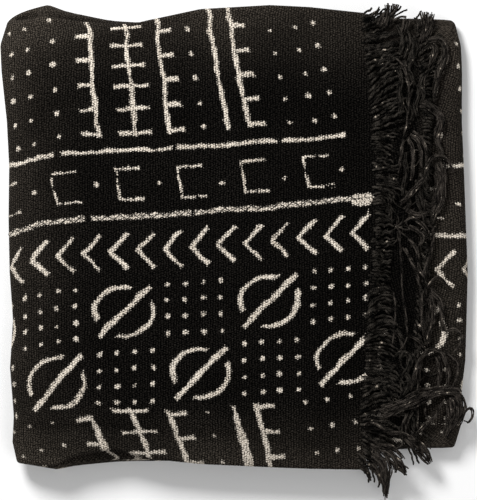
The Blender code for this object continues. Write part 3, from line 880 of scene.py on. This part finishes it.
def make_mud_cloth():
    """Black cloth with painted signs, from its flat map, its threads and where it lies."""
    material, shader = new_material("mud_cloth")
    tree = Field.tree = material.node_tree
    place, weave = map_place("Pattern"), map_place("Threads")
    (s0, t0), (along, across) = both_ways(place), both_ways(weave)
    moved = tree.nodes.new("ShaderNodeVectorMath")
    moved.operation = "ADD"
    moved.inputs[1].default_value = (331.0, 177.0, 0)
    tree.links.new(weave, moved.inputs[0])
    other = moved.outputs[0]

    # A hand never keeps quite to the line
    sway, waver = mottle(place, 42.0, 1.0), mottle(place, 13.0, 1.0)
    sway_t, waver_t = mottle(other, 37.0, 1.0), mottle(other, 12.0, 1.0)
    s = s0 + (sway - .5) * 3.6 + (waver - .5) * 2.6
    t = t0 + (sway_t - .5) * 3.0 + (waver_t - .5) * 2.6
    t = Field.node("WRAP", t, BAND_TOP, BAND_TOP - BAND_PITCH)
    signs = nearest(
        line_signs(s, t, ramp(mottle(place, 5.0, 1.0), .38, .28) * 2.0),
        chevron_signs(s, only_where(t, CHEVRONS_LOW - 1.0)) + below(t, CHEVRONS_LOW) * FAR,
        ring_signs(s, t) + below(abs(t - RINGS[0]), RINGS[1]) * -FAR + FAR,
        comb_signs(s, t) + below(abs(t - BETWEEN_COMBS[0]), BETWEEN_COMBS[1]) * FAR)

    # Threads, and the ragged edge they give to paint
    ragged_s, ragged_t = mottle(weave, 6.0, 2.0), mottle(other, 5.0, 2.0)
    bent_s, bent_t = along + (ragged_s - .5) * 2.0, across + (ragged_t - .5) * 1.8
    thread = wave(bent_s, WARP) * .5 + wave(bent_s, 2 * WARP) * wave(bent_t, WEFT) * .7
    fibre, grain = mottle(weave, .75, 3.0, .65), mottle(other, 1.5, 2.0, .6)
    edge = signs + (grain - .5) * 3.4 + (ragged_s - .5) * 2.4 - thread * .55
    edge = edge + (waver_t - .5) * 2.0 + .2
    speck = ramp(mottle(other, 1.5, 1.0, .5) + thread * .11, .40, .46)
    worn = ramp(mottle(place, 24.0, 3.0, .6), .30, .62)
    paint = ramp(edge, .42, -.42) * pick(worn, limit(speck + .25, 0.0, 1.0), speck)
    paint = paint * below(t0, BACK_OFFSET / 2) * below(LAST_PAINT_S - s0, 0.0)

    # Toward the folded edges, and on the lower layer, the black is painted grey: painted sheen of
    # the fuzz where the cloth turns down, with some wear
    lie = tree.nodes.new("ShaderNodeTexCoord").outputs["Object"]
    x, y = (field * 1000.0 for field in both_ways(lie))
    left, back, front = (limit((field - start) / way, 0.0, 1.15) for field, (start, way) in
                         ((x, WORN_SHEEN_LEFT), (y, WORN_SHEEN_BACK), (y, WORN_SHEEN_FRONT)))
    # Toward the front fold the cream is painted dimmer
    paint = paint * pick(front, .70, 1.0)
    # Painted sheen, with some wear, grows toward the left, back and front folds and on the lower
    # layer
    sheen_and_wear = left * left * .46 + (back * back + front * front) * .56 + ramp(x, *WORN_SHEEN_LOWER) * .60
    patch = ramp(mottle(place, 60.0, 3.0, .6), .3, .7)
    sheen_and_wear = limit(sheen_and_wear, 0.0, 1.0) * pick(patch, 1.0, .8)
    # The threads are painted lighter and the gaps between them darker: partly painted highlight
    # and shade of the weave, partly the random tone of handspun yarn
    ribs = ramp(thread + (fibre - .5) * 1.6 + (grain - .5) * 4.4, -.5, 2.6)
    # Large blots of random tone, and toward the right the threads are painted a little darker
    share = ribs * pick(patch, .95, .60) * pick(ramp(x, 10.0, 90.0), .80, 1.0)
    dark = mix_colours(sheen_and_wear, mix_colours(share, CLOTH_DARK, CLOTH_LIGHT),
                       mix_colours(share, WORN_SHEEN_DARK, WORN_SHEEN_LIGHT))
    # The cream is also painted darker in the gaps between threads, as shade, and varies at random
    light = ramp(thread * .5 + (fibre - .5) * 2.6 + (worn - .5) * .4, -1.0, .7)
    cream = mix_colours(light, CREAM_DARK, CREAM_LIGHT)
    finish_cotton(shader, mix_colours(paint, dark, cream),
                  thread * .45 + fibre * .5 + paint * .1, (1.0, .0007),
                  pick(paint, .80, .93), .015, (.03, .18, (1.0, .86, .74, 1)))
    print("mud_cloth:", len(tree.nodes), "nodes")
    return material


mud_cloth = make_mud_cloth()

# %% Lay the four strips
for name in STRETCHES:
    strip = make_strip(name, mud_cloth)
    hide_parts(name)
    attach(strip, "root")


# %% [markdown]
# ## The sewing over the middle seam
#
# The two middle strips meet under the painted line, and a dark thread runs in a zigzag from
# one strip to the other and back. It could be painted on, but thread stands proud of cloth
# and catches light, so it is a thin tube that follows the seam on the folded surface.

# %% Helpers for thread and yarn
def length_run(line):
    """How far each point of a line lies from its start, along the line."""
    return np.concatenate([[0], np.cumsum(np.linalg.norm(np.diff(line, axis=0), axis=1))])


def heading_of(line):
    """The direction of a line at each of its points."""
    way = np.gradient(line, axis=0)
    return way / (np.linalg.norm(way, axis=1, keepdims=True) + 1e-12)


def smooth_line(points, step):
    """An even line through the points, curved as a bent wire curves."""
    points = np.asarray(points, float)
    ends = np.concatenate([[2 * points[0] - points[1]], points, [2 * points[-1] - points[-2]]])
    share = np.linspace(0, 1, 12, endpoint=False)[:, None]
    spans = [.5 * (2 * b + (c - a) * share + (2 * a - 5 * b + 4 * c - d) * share ** 2
                   + (3 * b - a - 3 * c + d) * share ** 3)
             for a, b, c, d in zip(ends, ends[1:], ends[2:], ends[3:])]
    line = np.concatenate(spans + [points[-1:]])
    run = length_run(line)
    even = np.linspace(0, run[-1], max(int(run[-1] / step), 2) + 1)
    return np.stack([np.interp(even, run, line[:, axis]) for axis in range(3)], axis=1)


PLY_PITCH, TAPER_LENGTH = .0042, .012      # of a yarn's twist, and of its thinner end


def yarn_tube(line, radius, sides, ply, start, taper=.78):
    """Rings of points round a line. Ply draws the two twisted threads of a yarn."""
    tangent, run = heading_of(line), length_run(line)
    normal = np.cross(tangent[0], (0.0, 0.0, 1.0))
    if np.linalg.norm(normal) < .2:
        normal = np.cross(tangent[0], (0.0, 1.0, 0.0))
    angles = np.linspace(0, 2 * math.pi, sides, endpoint=False)
    rings = []
    for place, way, length in zip(line, tangent, run):
        normal = normal - way * np.dot(normal, way)
        normal /= np.linalg.norm(normal) + 1e-12
        other = np.cross(way, normal)
        size = radius * min(1.0, taper + (1 - taper) * (run[-1] - length) / TAPER_LENGTH)
        reach = size * (1 + ply * np.cos(2 * angles - 2 * math.pi * length / PLY_PITCH + start))
        rings.append(place + reach[:, None] * (np.cos(angles)[:, None] * normal
                                               + np.sin(angles)[:, None] * other))
    return np.array(rings), run


def make_yarns(name, lines, material, radii, sides=6, ply=.16):
    """Many strands as one mesh. Each has its own row in both maps."""
    radii = np.broadcast_to(radii, len(lines))
    points, faces, yarn_map, bake_map = [], [], [], []
    start = 0
    for number, line in enumerate(lines):
        own = radii[number] * (1 + .16 * math.sin(5.1 * number))
        rings, run = yarn_tube(line, own, sides, ply, 1.7 * number)
        rows = len(rings)
        points.append(rings.reshape(-1, 3))
        index = np.arange(rows * sides).reshape(rows, sides) + start
        after = np.roll(index, -1, axis=1)
        quads = np.stack([index[:-1], after[:-1], after[1:], index[1:]], axis=2).reshape(-1, 4)
        faces += quads.tolist()
        low, high = (number + .12) / len(lines), (number + .88) / len(lines)
        around = np.linspace(0, 1, sides + 1)
        own_row = 7.0 * number
        for row in range(rows - 1):
            for a, b in zip(around, around[1:]):
                for stop, place in ((row, a), (row, b), (row + 1, b), (row + 1, a)):
                    yarn_map.append((run[stop] * 1000, place + own_row))
                    bake_map.append((.02 + .94 * run[stop] / run[-1], low + (high - low) * place))
        for ring, cap_u, turned in ((index[0], .004, True), (index[-1], .975, False)):
            faces.append(list(ring[::-1]) if turned else list(ring))
            for corner in range(sides):
                angle = 2 * math.pi * corner / sides
                yarn_map.append((0.0 if turned else run[-1] * 1000, own_row))
                bake_map.append((cap_u + .004 * math.cos(angle) + .004, (low + high) / 2
                                 + (high - low) * .3 * (-1 if turned else 1) * math.sin(angle)))
        start += rows * sides
    print(name, "has", len(lines), "strands")
    return new_piece(name, np.concatenate(points), faces,
                     {"Yarn": yarn_map, "OFBake": bake_map}, material)


# %% Spin the yarn's material
UNDYED = (.42, .36, .29)


def make_yarn_material(name, dark, light, cream_share):
    """Twisted cotton: painted shade in the groove between its plies, random tone, and a few undyed
    flecks.
    """
    material, shader = new_material(name)
    Field.tree = material.node_tree
    yarn = map_place("Yarn")
    along, around = both_ways(yarn)
    fibre = wave(along * .5 + around * 3.4, 1.0)
    fuzz, tone = mottle(yarn, 1.1, 3.0, .7), mottle(yarn, 9.0, 2.0, .6)
    # The groove between the plies is painted darker, as shade; fuzz and tone vary at random
    share = ramp(fibre * .12 + fuzz * .6 + tone * 1.2, .76, 1.24)
    fleck = ramp(tone + fuzz * .35, .97 - cream_share, 1.0 - cream_share)
    finish_cotton(shader, mix_colours(fleck, mix_colours(share, dark, light), UNDYED),
                  fibre * .4 + fuzz, (.7, .0004), fuzz * .2 + .72, .04,
                  (.02, .25, (1.0, .88, .78, 1)))
    return material


fringe_yarn = make_yarn_material("fringe_yarn", (.0004, .0004, .0003), (.047, .041, .034), .05)
lock_yarn = make_yarn_material("lock_yarn", (.0006, .0005, .0004), (.080, .068, .057), .06)
seam_thread = make_yarn_material("seam_thread", (.0030, .0028, .0026), (.012, .011, .010), -.5)

# %% Sew the seam
ZIGZAG_HALF, ZIGZAG_REACH, THREAD_RADIUS = .0055, .0021, .00032
# The lengths of path where the seam can be seen: on the face, and on the lower layer
SEAM_SHOWS = ((.018, .318), (.722, .790))


def seam_zigzag(first, last):
    """The corners of the zigzag between two distances along the path, on the painted side."""
    corners = np.arange(first, last, ZIGZAG_HALF)
    fine = np.arange(first, last, ZIGZAG_HALF / 5)
    stops = np.stack([np.interp(fine, stop_run, column) for column in PATH.T], axis=1)
    stops[:, 6] = np.round(stops[:, 6])
    swing = np.interp(fine, corners, ZIGZAG_REACH * (1 - 2 * (np.arange(len(corners)) % 2)))
    v = 2 * STRIP_WIDTH + swing[:, None]
    return placed(cloth_points(stops, v, THICKNESS / 2 + THREAD_RADIUS * .6))[:, 0]


seam_sewing = make_yarns("seam_sewing", [seam_zigzag(*stretch) for stretch in SEAM_SHOWS],
                         seam_thread, THREAD_RADIUS, sides=5, ply=0.0)
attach(seam_sewing, "root")

# %% [markdown]
# ## The fringe
#
# At each cut end the warp threads were left long and twisted into yarns. Hair particles
# could make them, but they can't be exported as they stand and a maker has no say in where
# each one falls. So every yarn is walked out of the cloth in small steps: it starts level,
# turns as its neighbours do, and sinks onto whatever lies under it.

# %% The lie of the yarns
YARN_RADIUS, LOCK_RADIUS = .00096, .00060
YARN_STEP, LOCK_STEP = .0013, .0017
STRAY_YARNS = 60
# Waves in a loose thread, in metres: how far each goes, and the length that sets its pitch
CRINKLE, CROSSING, BOUNCE = (.00022, .0019), (.0006, .011), (.0007, .006)
# By the row of the photograph where a yarn starts: its length in mm, its first heading and
# how far it bends, in degrees from the right, and the height of its waves in mm
TOP_LIE = {
    "row": (-2, 16, 24, 32, 45, 56, 62, 75, 88, 102, 110, 122, 133, 140, 150, 163, 170, 184,
            190, 205, 216, 235, 280, 290, 300, 318, 330, 345, 356, 370, 385, 398, 408, 420, 430,
            440, 452, 462, 474),
    "length": (5, 10, 24, 30, 28, 27, 28, 32, 33, 33, 30, 29, 27, 21, 16, 16, 23, 23,
               18, 20, 16, 16, 16, 19, 25, 29, 31, 31, 24, 33, 35, 37, 33, 33, 34,
               36, 33, 20, 5),
    "heading": (20, 26, 30, 28, 12, 10, 20, 42, 50, 50, 32, 24, 14, 6, 0, 0, 2, -2,
                10, 20, 5, -4, -6, 20, 50, 55, 35, 22, 5, 0, 15, 42, 30, 20, -15,
                -30, -38, -44, -50),
    "bend": (-5, 10, 0, -5, 5, -5, -20, -25, -35, -30, -10, -5, -5, -20, -70, -60, -15, -20,
             -100, -140, -40, 8, 8, -60, -100, -110, -75, -60, -30, -60, -75, -90, -60, -40, -20,
             -50, -42, -28, -12),
    "wave": (.3, .4, .5, .6, .6, .5, .5, .5, .5, .5, .5, .5, .5, .5, .6, .6, .4, .4,
             .4, .4, .6, .8, .7, .5, .3, .3, .3, .3, .4, .4, .4, .4, .4, .4, .4,
             .3, .3, .3, .3),
}
LOWER_LIE = {
    "row": (10, 20, 35, 50, 70, 85, 100, 110, 137, 145, 170, 200, 215, 240, 300, 400, 430, 460),
    "length": (14, 17, 22, 24, 23, 17, 11, 9, 9, 18, 14, 14, 14, 12, 12, 12, 20, 22),
    "heading": (62, 55, 45, 42, 40, 30, 10, 0, 0, -50, -70, -40, 20, -30, -60, -70, -60, -60),
    "bend": (-10, -10, -10, -15, -20, -30, -40, -20, -20, -30, 0, 20, -60, -60, -30, -20, -20,
             -20),
    "wave": (.2, .2, .3, .3, .3, .3, .3, .1, .1, .4, .4, .4, .4, .4, .4, .4, .3, .3),
}
rng = np.random.default_rng(11)


def overhang(x, y):
    """How far a place lies outside the stack, seen from above."""
    return np.maximum.reduce([y - side("under_back", x), side("under_front", x) - y,
                              x - end("right", y), 0 * x])


def ground(x, y):
    """The height of the cloth that shows at a place, with its steps from level to level."""
    top, second, first = (LEVELS[level] + BUNDLE_HALF for level in (3, 2, 1))
    z = top + (second - top) * ease(x - end("top_end", y), (-.001, .004))
    z = z + (first - second) * ease(x - end("lower_end", y), (-.001, .006))
    return z * (1 + lift(x, y)) - np.minimum(12.0 * overhang(x, y) ** 2, .020)


def walk_yarn(root, length, heading, bend, wave_height, sag, phase):
    """One yarn from its root, as a line of points."""
    x, y, z = root
    steps = max(int(length / YARN_STEP), 5)
    points = [root]
    for number in range(1, steps + 1):
        share, run = number / steps, number * YARN_STEP
        way = math.radians(heading + bend * share ** 1.4)
        sway = wave_height * math.sin(phase + run / .0011) * min(share * 4, 1.0)
        x += YARN_STEP * math.cos(way)
        y += YARN_STEP * math.sin(way)
        rest = float(ground(np.array(x), np.array(y))) + YARN_RADIUS + sag
        z += (rest - z) * .30
        points.append((x - sway * math.sin(way), y + sway * math.cos(way),
                       z + .0003 * math.cos(phase + run / .0023)))
    return placed(np.array(points))


def comb_of_yarns(stop, spans, lie):
    """The yarns of one cut end.

    Each span gives two distances across the cloth, the pitch of its yarns, a share of their
    usual length, and how high they lie.
    """
    lines = []
    for first, last, pitch, share, sag in spans:
        for v in np.arange(first, last, pitch):
            v = v + rng.uniform(-.18, .18) * pitch
            root = cloth_points(stop, np.array([[v]]), THICKNESS * .45)[0, 0]
            y = root[1]
            row = PHOTO_MIDDLE - y / PIXEL
            length, heading, bend, high = (float(np.interp(row, lie["row"], lie[key]))
                                           for key in ("length", "heading", "bend", "wave"))
            clump = math.sin(410 * y + 2.6 * math.sin(97 * y)) + .6 * math.sin(700 * y)
            heading += 6 * clump + rng.normal(0, 2.0)
            bend += 6 * clump + rng.normal(0, 4.0)
            root[0] -= rng.uniform(.0003, .0055)
            lines.append(walk_yarn(root, length * share * rng.uniform(.86, 1.12) / 1000, heading,
                                   bend, high / 1000, sag + .0006 * clump + rng.uniform(0, .0008),
                                   330 * y + rng.normal(0, .5)))
    return lines


top_at, low_at = ({name: float(value[0]) for name, value in fold_places(seam_height(cut)).items()}
                  for cut in (PATH[:1], PATH[-1:]))
top_lines = comb_of_yarns(PATH[:1], (
    (top_at["back_end"], top_at["front_start"], .00200, 1.0, .0010),
    (top_at["back_start"], top_at["back_end"], .0030, .9, .0),
    (top_at["front_start"], top_at["front_end"], .0028, .9, .0),
    (.004, top_at["back_start"], .0036, .92, -.0016),
    (top_at["front_end"], 4 * STRIP_WIDTH - .004, .0050, .88, -.0014)), TOP_LIE)
lower_lines = comb_of_yarns(PATH[-1:], (
    (.004, low_at["back_start"], .0029, 1.0, .0004),
    (low_at["front_end"], low_at["front_end"] + .055, .0029, 1.0, .0002),
    (low_at["front_end"] + .055, 4 * STRIP_WIDTH - .004, .0090, .8, .0),
    (low_at["back_end"], low_at["front_start"], .0075, .8, -.0002)), LOWER_LIE)
print("yarns:", len(top_lines), "at the top end and", len(lower_lines), "at the lower end")

# %% [markdown]
# ## The long locks
#
# Some yarns are much longer, and hang together in tangled locks that fall down the length
# of the fringe. Their twist has come out, so each lock is a brush of finer threads. It
# follows a line charted from the photograph, and its threads run side by side round
# that line, crossing as they go.

# %% Chart the locks
# Each row: how many threads, the lock's width and height above the cloth in mm, then its
# line in the photograph's pixels
TIP_LOCKS = (
    (18, 11, 3.4, ((385, 26), (388, 17), (391, 9), (392, 2.5))),
    (8, 5, 3, ((380, 26), (382, 18), (384, 11))),
    (5, 2.4, 3.2, ((388, 18), (394, 12), (399, 8), (400.5, 4.5))),
    (3, 1.6, 3.2, ((392, 18), (399, 13), (408, 9))),
    (3, 1.6, 3, ((394, 20), (401, 16), (407, 16.5))),
    (18, 11, 3.4, ((425, 42), (426, 30), (428, 20), (428, 10))),
    (8, 9, 2.8, ((404, 34), (406, 26), (408, 19))),
    (5, 3, 3.2, ((428, 30), (431, 20), (434, 13))),
    (4, 2.4, 3.2, ((420, 30), (419, 22), (416, 16))),
    (4, 3, 3, ((430, 34), (433, 24), (435, 18))),
)
HIGH_LOCKS = (
    (3, 1.8, 3.8, ((391, 55), (398, 59), (404, 66), (408, 80), (409.5, 97), (408, 120), (405, 134),
     (398, 175))),
    (1, .8, 3.8, ((408.6, 86), (411, 83), (413.5, 80))),
    (14, 8, 3.2, ((425, 42), (433, 38.5), (441, 38.5), (446, 44), (447, 53), (443.5, 62),
     (440, 73), (437, 86), (435, 101))),
    (6, 5, 2.6, ((426, 44), (433, 42), (436.5, 48), (434, 58), (430, 68), (426, 78), (424, 88))),
    (14, 8, 3.4, ((420, 101), (429, 104), (437, 110), (442, 117), (441, 126), (438, 134),
     (440, 143), (443, 153), (442, 160))),
    (4, 3.4, 6, ((424, 173), (429, 163), (434, 157.5), (441, 155.5), (448, 159), (452.5, 167),
     (455, 172))),
    (20, 13, 3.6, ((439, 158), (441, 170), (442, 183), (440, 199), (435, 214), (431, 227))),
    (6, 3.8, 5.2, ((400, 204), (407, 198), (414, 190), (422, 181), (427, 172), (430, 163))),
    (5, 3.6, 3, ((413.4, 131.7), (421, 137), (426, 147), (427.5, 158), (427, 168))),
    (4, 3.2, 2.8, ((411, 134), (418, 140), (422, 149), (422.5, 158), (420, 170))),
    (5, 4.2, 2.6, ((408, 137), (413, 146), (415, 156), (414, 168), (411, 180))),
)
# Short tangles in the gap between the two rows of roots. They belong to the lower end
INNER_LOCKS = (
    (5, 5, 2.4, ((404, 150), (405, 162), (407, 174), (405, 186), (404, 196))),
    (6, 8, 2.4, ((420, 178), (419, 190), (421, 202), (424, 214), (425, 224))),
    (6, 6, 2, ((398, 24), (402, 32), (403, 42), (400, 54))),
    (6, 5, 2, ((404, 26), (409, 34), (409, 46), (405, 58))),
    (6, 6, 2, ((411, 34), (415, 44), (413, 56), (409, 66), (410, 78))),
    (6, 5, 1.8, ((403, 60), (407, 70), (412, 76), (416, 86))),
    (5, 6, 1.8, ((421, 84), (419, 94), (415, 104), (417, 116))),
    (5, 5, 1.8, ((398, 66), (402, 78), (400, 90), (402, 104), (399, 116))),
    (5, 4, 1.8, ((412, 88), (409, 100), (413, 112), (411, 124))),
    (5, 5, 1.8, ((424, 74), (421, 84), (424, 94), (421, 104))),
    (6, 6, 2.2, ((400, 186), (406, 192), (410, 202), (406, 212))),
    (6, 6, 2, ((396, 356), (404, 352), (411, 358), (408, 370), (402, 378))),
    (5, 5, 2, ((404, 372), (410, 380), (406, 392), (400, 400))),
    (5, 5, 2, ((396, 330), (402, 338), (404, 350), (400, 362))),
)
MIDDLE_LOCKS = (
    (6, 6, 2.4, ((406, 206), (412, 212), (420, 215), (428, 213))),
    (5, 5, 2.6, ((404, 222), (412, 218), (420, 222), (427, 230), (428, 240))),
    (5, 5, 2.6, ((410, 226), (418, 230), (424, 238), (420, 246))),
    (4, 3, 3.6, ((406.6, 239), (412, 242), (417, 249), (418.6, 260), (420, 270), (427, 279))),
    (3, 2.6, 3.6, ((404, 247), (410, 258), (416, 270), (420, 284))),
    (6, 3.4, 3.6, ((439, 225), (434, 227), (434, 238), (431, 254), (426, 268), (424, 280))),
    (2, 1.6, 4.2, ((397.5, 221), (400.5, 240), (402, 270), (402, 287), (404, 304), (407.5, 326),
     (407.5, 340), (399, 352))),
    (1, 1, 4.2, ((394.5, 293), (396.5, 310), (395, 325), (393.5, 338), (390.5, 348))),
    (4, 3.8, 5.2, ((428, 289), (433, 281), (439, 277.5), (445, 281), (447, 285))),
    (10, 5, 3.6, ((428, 284), (434, 292), (441, 301), (443.5, 310), (443.5, 321), (445, 332))),
    (12, 12, 2.6, ((430, 288), (431, 300), (431.5, 315), (430, 330), (428, 346))),
    (4, 3, 3, ((423, 290), (423, 310), (424, 330), (428, 348))),
    (6, 4.2, 3.4, ((408, 335), (414, 337), (420, 341), (427, 350))),
    (2, 1.8, 3.4, ((444, 322), (447, 331), (453, 330), (458, 331), (463, 337), (460.6, 346),
     (452, 355))),
)
LOW_LOCKS = (
    (9, 4.4, 5.4, ((411, 394), (414, 382), (416, 372), (419.5, 362), (427, 353), (434, 350),
     (442, 353.5), (448, 364), (449.5, 375), (448, 388))),
    (7, 5.2, 4, ((437, 356), (440, 363), (441, 373), (440, 388))),
    (3, 2.6, 4.2, ((447, 352), (452, 357), (458, 364), (458.5, 376), (454, 388))),
    (4, 2.8, 4, ((423, 362), (420, 374), (419, 386), (418, 396))),
    (20, 14, 5, ((378, 415), (390, 410), (404, 405), (419, 399), (433, 394), (447, 391),
     (458, 392), (463, 398))),
    (10, 7, 4.4, ((455, 393), (462, 399), (464.5, 408), (463, 418), (460, 426))),
    (16, 15, 3, ((452, 396), (456, 405), (456, 416), (451, 427), (446, 438))),
    (3, 2.6, 4.8, ((464, 418), (466, 413), (471, 409), (475, 412), (474, 419), (470, 424),
     (465, 422))),
    (7, 4.2, 5, ((416, 436), (422, 430), (430, 423), (437, 416), (441.7, 407), (446, 400))),
    (3, 2.4, 3.2, ((408, 412), (404, 422), (402, 430), (402, 436))),
    (3, 2.4, 3.2, ((414, 411), (409, 420), (406.5, 428), (407, 436))),
    (3, 2.4, 3.2, ((420, 410), (419, 420), (418, 430))),
    (3, 2.4, 3.2, ((426, 409), (427, 416), (431, 421))),
    (18, 13, 3.4, ((407, 436), (414, 443), (423, 452), (432, 465))),
    (5, 3.4, 4.2, ((364.5, 426), (370, 423), (377, 424.5), (384, 430), (394, 432.5), (403, 433),
     (412, 436))),
    (5, 3.6, 4, ((364, 432), (368.6, 439), (378, 444.5), (390, 447), (399, 453), (406, 462))),
    (6, 5, 3.6, ((366, 440), (374, 447), (386, 451), (394, 457), (398, 466), (397, 474))),
    (12, 10, 3.4, ((368, 447), (377, 452), (384, 460), (387, 471), (387, 485), (388, 503))),
    (12, 9, 3.2, ((368, 456), (375, 461), (381, 468), (385, 480), (387, 497))),
    (8, 6, 2.6, ((367, 463), (373, 467), (378, 474), (382, 485))),
    (7, 5, 3, ((386, 452), (396, 459), (403, 467), (407, 476))),
    (5, 4, 3.2, ((386, 458), (394, 464), (401, 470), (408, 476))),
    (4, 3.4, 3.2, ((392, 456), (400, 463), (407, 468), (409, 470))),
    (2, 1.4, 4.4, ((395, 434), (400, 434.5), (403.5, 439), (402, 445), (397, 448))),
)


# %% Lay the locks
def ripple(run, phase, wave_size):
    """A small wave along a thread."""
    return wave_size[0] * np.sin(run / wave_size[1] + phase)


def lay_lock(count, width, height, pixels, gathered=.5):
    """The threads of one lock, side by side round its charted line, gathered at its tip."""
    guide = smooth_line([(*from_photo(px, py), 0.0) for px, py in pixels], LOCK_STEP)
    way = heading_of(guide)
    beside = np.stack([-way[:, 1], way[:, 0]], axis=1)
    share = np.linspace(0, 1, len(guide))
    run = share * len(guide) * LOCK_STEP
    waist = .70 + .30 * np.sin(run / .011 + count) ** 2
    waist *= np.interp(share, (0, .55, 1), (1, 1, gathered))
    lines = []
    for number in range(count):
        off = number - (count - 1) / 2
        lane = off / max(count - 1, 1) * (width / 1000 - 2 * LOCK_RADIUS)
        phase = rng.uniform(0, 6.28)
        swap = (lane * waist * np.cos(.45 * np.sin(run / .019 + phase))
                + ripple(run, phase, CROSSING))
        first = int(rng.uniform(0, .10) * len(guide))
        last = len(guide) - int(rng.uniform(0, .14) * len(guide))
        aside = swap + ripple(run, phase, CRINKLE)
        x, y = guide[:, 0] + aside * beside[:, 0], guide[:, 1] + aside * beside[:, 1]
        arch = (1 - (2 * off / count) ** 2) * .0016
        rise = np.minimum(1, share * 5 + .15) * height / 1000
        z = ground(x, y) + LOCK_RADIUS + rise + arch + ripple(run, phase, BOUNCE)
        lines.append(placed(np.stack([x, y, z], axis=1)[first:last]))
    return lines


def stray_yarn():
    """A single fine thread that wanders in the tangle between the two rows of roots."""
    x = rng.uniform(.132, .160)
    y = rng.choice((rng.uniform(.000, .176), rng.uniform(-.165, -.090)))
    heading, turning = rng.uniform(-150, -30), rng.normal(0, 1500)
    phase, high = rng.uniform(0, 6.28), rng.uniform(.0012, .0034)
    points = []
    for number in range(int(rng.uniform(9, 22))):
        way = math.radians(heading + 55 * math.sin(phase + number * LOCK_STEP / .0065))
        heading += turning * LOCK_STEP
        x += LOCK_STEP * math.cos(way)
        y += LOCK_STEP * math.sin(way)
        points.append((x, y, float(ground(np.array(x), np.array(y))) + high
                       + .0006 * math.sin(phase + number * .7)))
    return placed(np.array(points))


lock_lines = [line for row in TIP_LOCKS for line in lay_lock(*row, gathered=1.3)]
lock_lines += [line for row in HIGH_LOCKS + MIDDLE_LOCKS + LOW_LOCKS for line in lay_lock(*row)]
inner_lines = [line for row in INNER_LOCKS for line in lay_lock(*row)]
inner_lines += [stray_yarn() for number in range(STRAY_YARNS)]
lower_radii = [YARN_RADIUS] * len(lower_lines) + [LOCK_RADIUS] * len(inner_lines)
fringe_top = make_yarns("fringe_top_end_yarns", top_lines, fringe_yarn, YARN_RADIUS)
fringe_lower = make_yarns("fringe_lower_end_yarns", lower_lines + inner_lines, fringe_yarn,
                          lower_radii)
fringe_locks = make_yarns("fringe_long_locks", lock_lines, lock_yarn, LOCK_RADIUS, sides=5,
                          ply=.12)
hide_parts("fringe_top_end")
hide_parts("fringe_lower_end")
for fringe in (fringe_top, fringe_lower, fringe_locks):
    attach(fringe, "root")
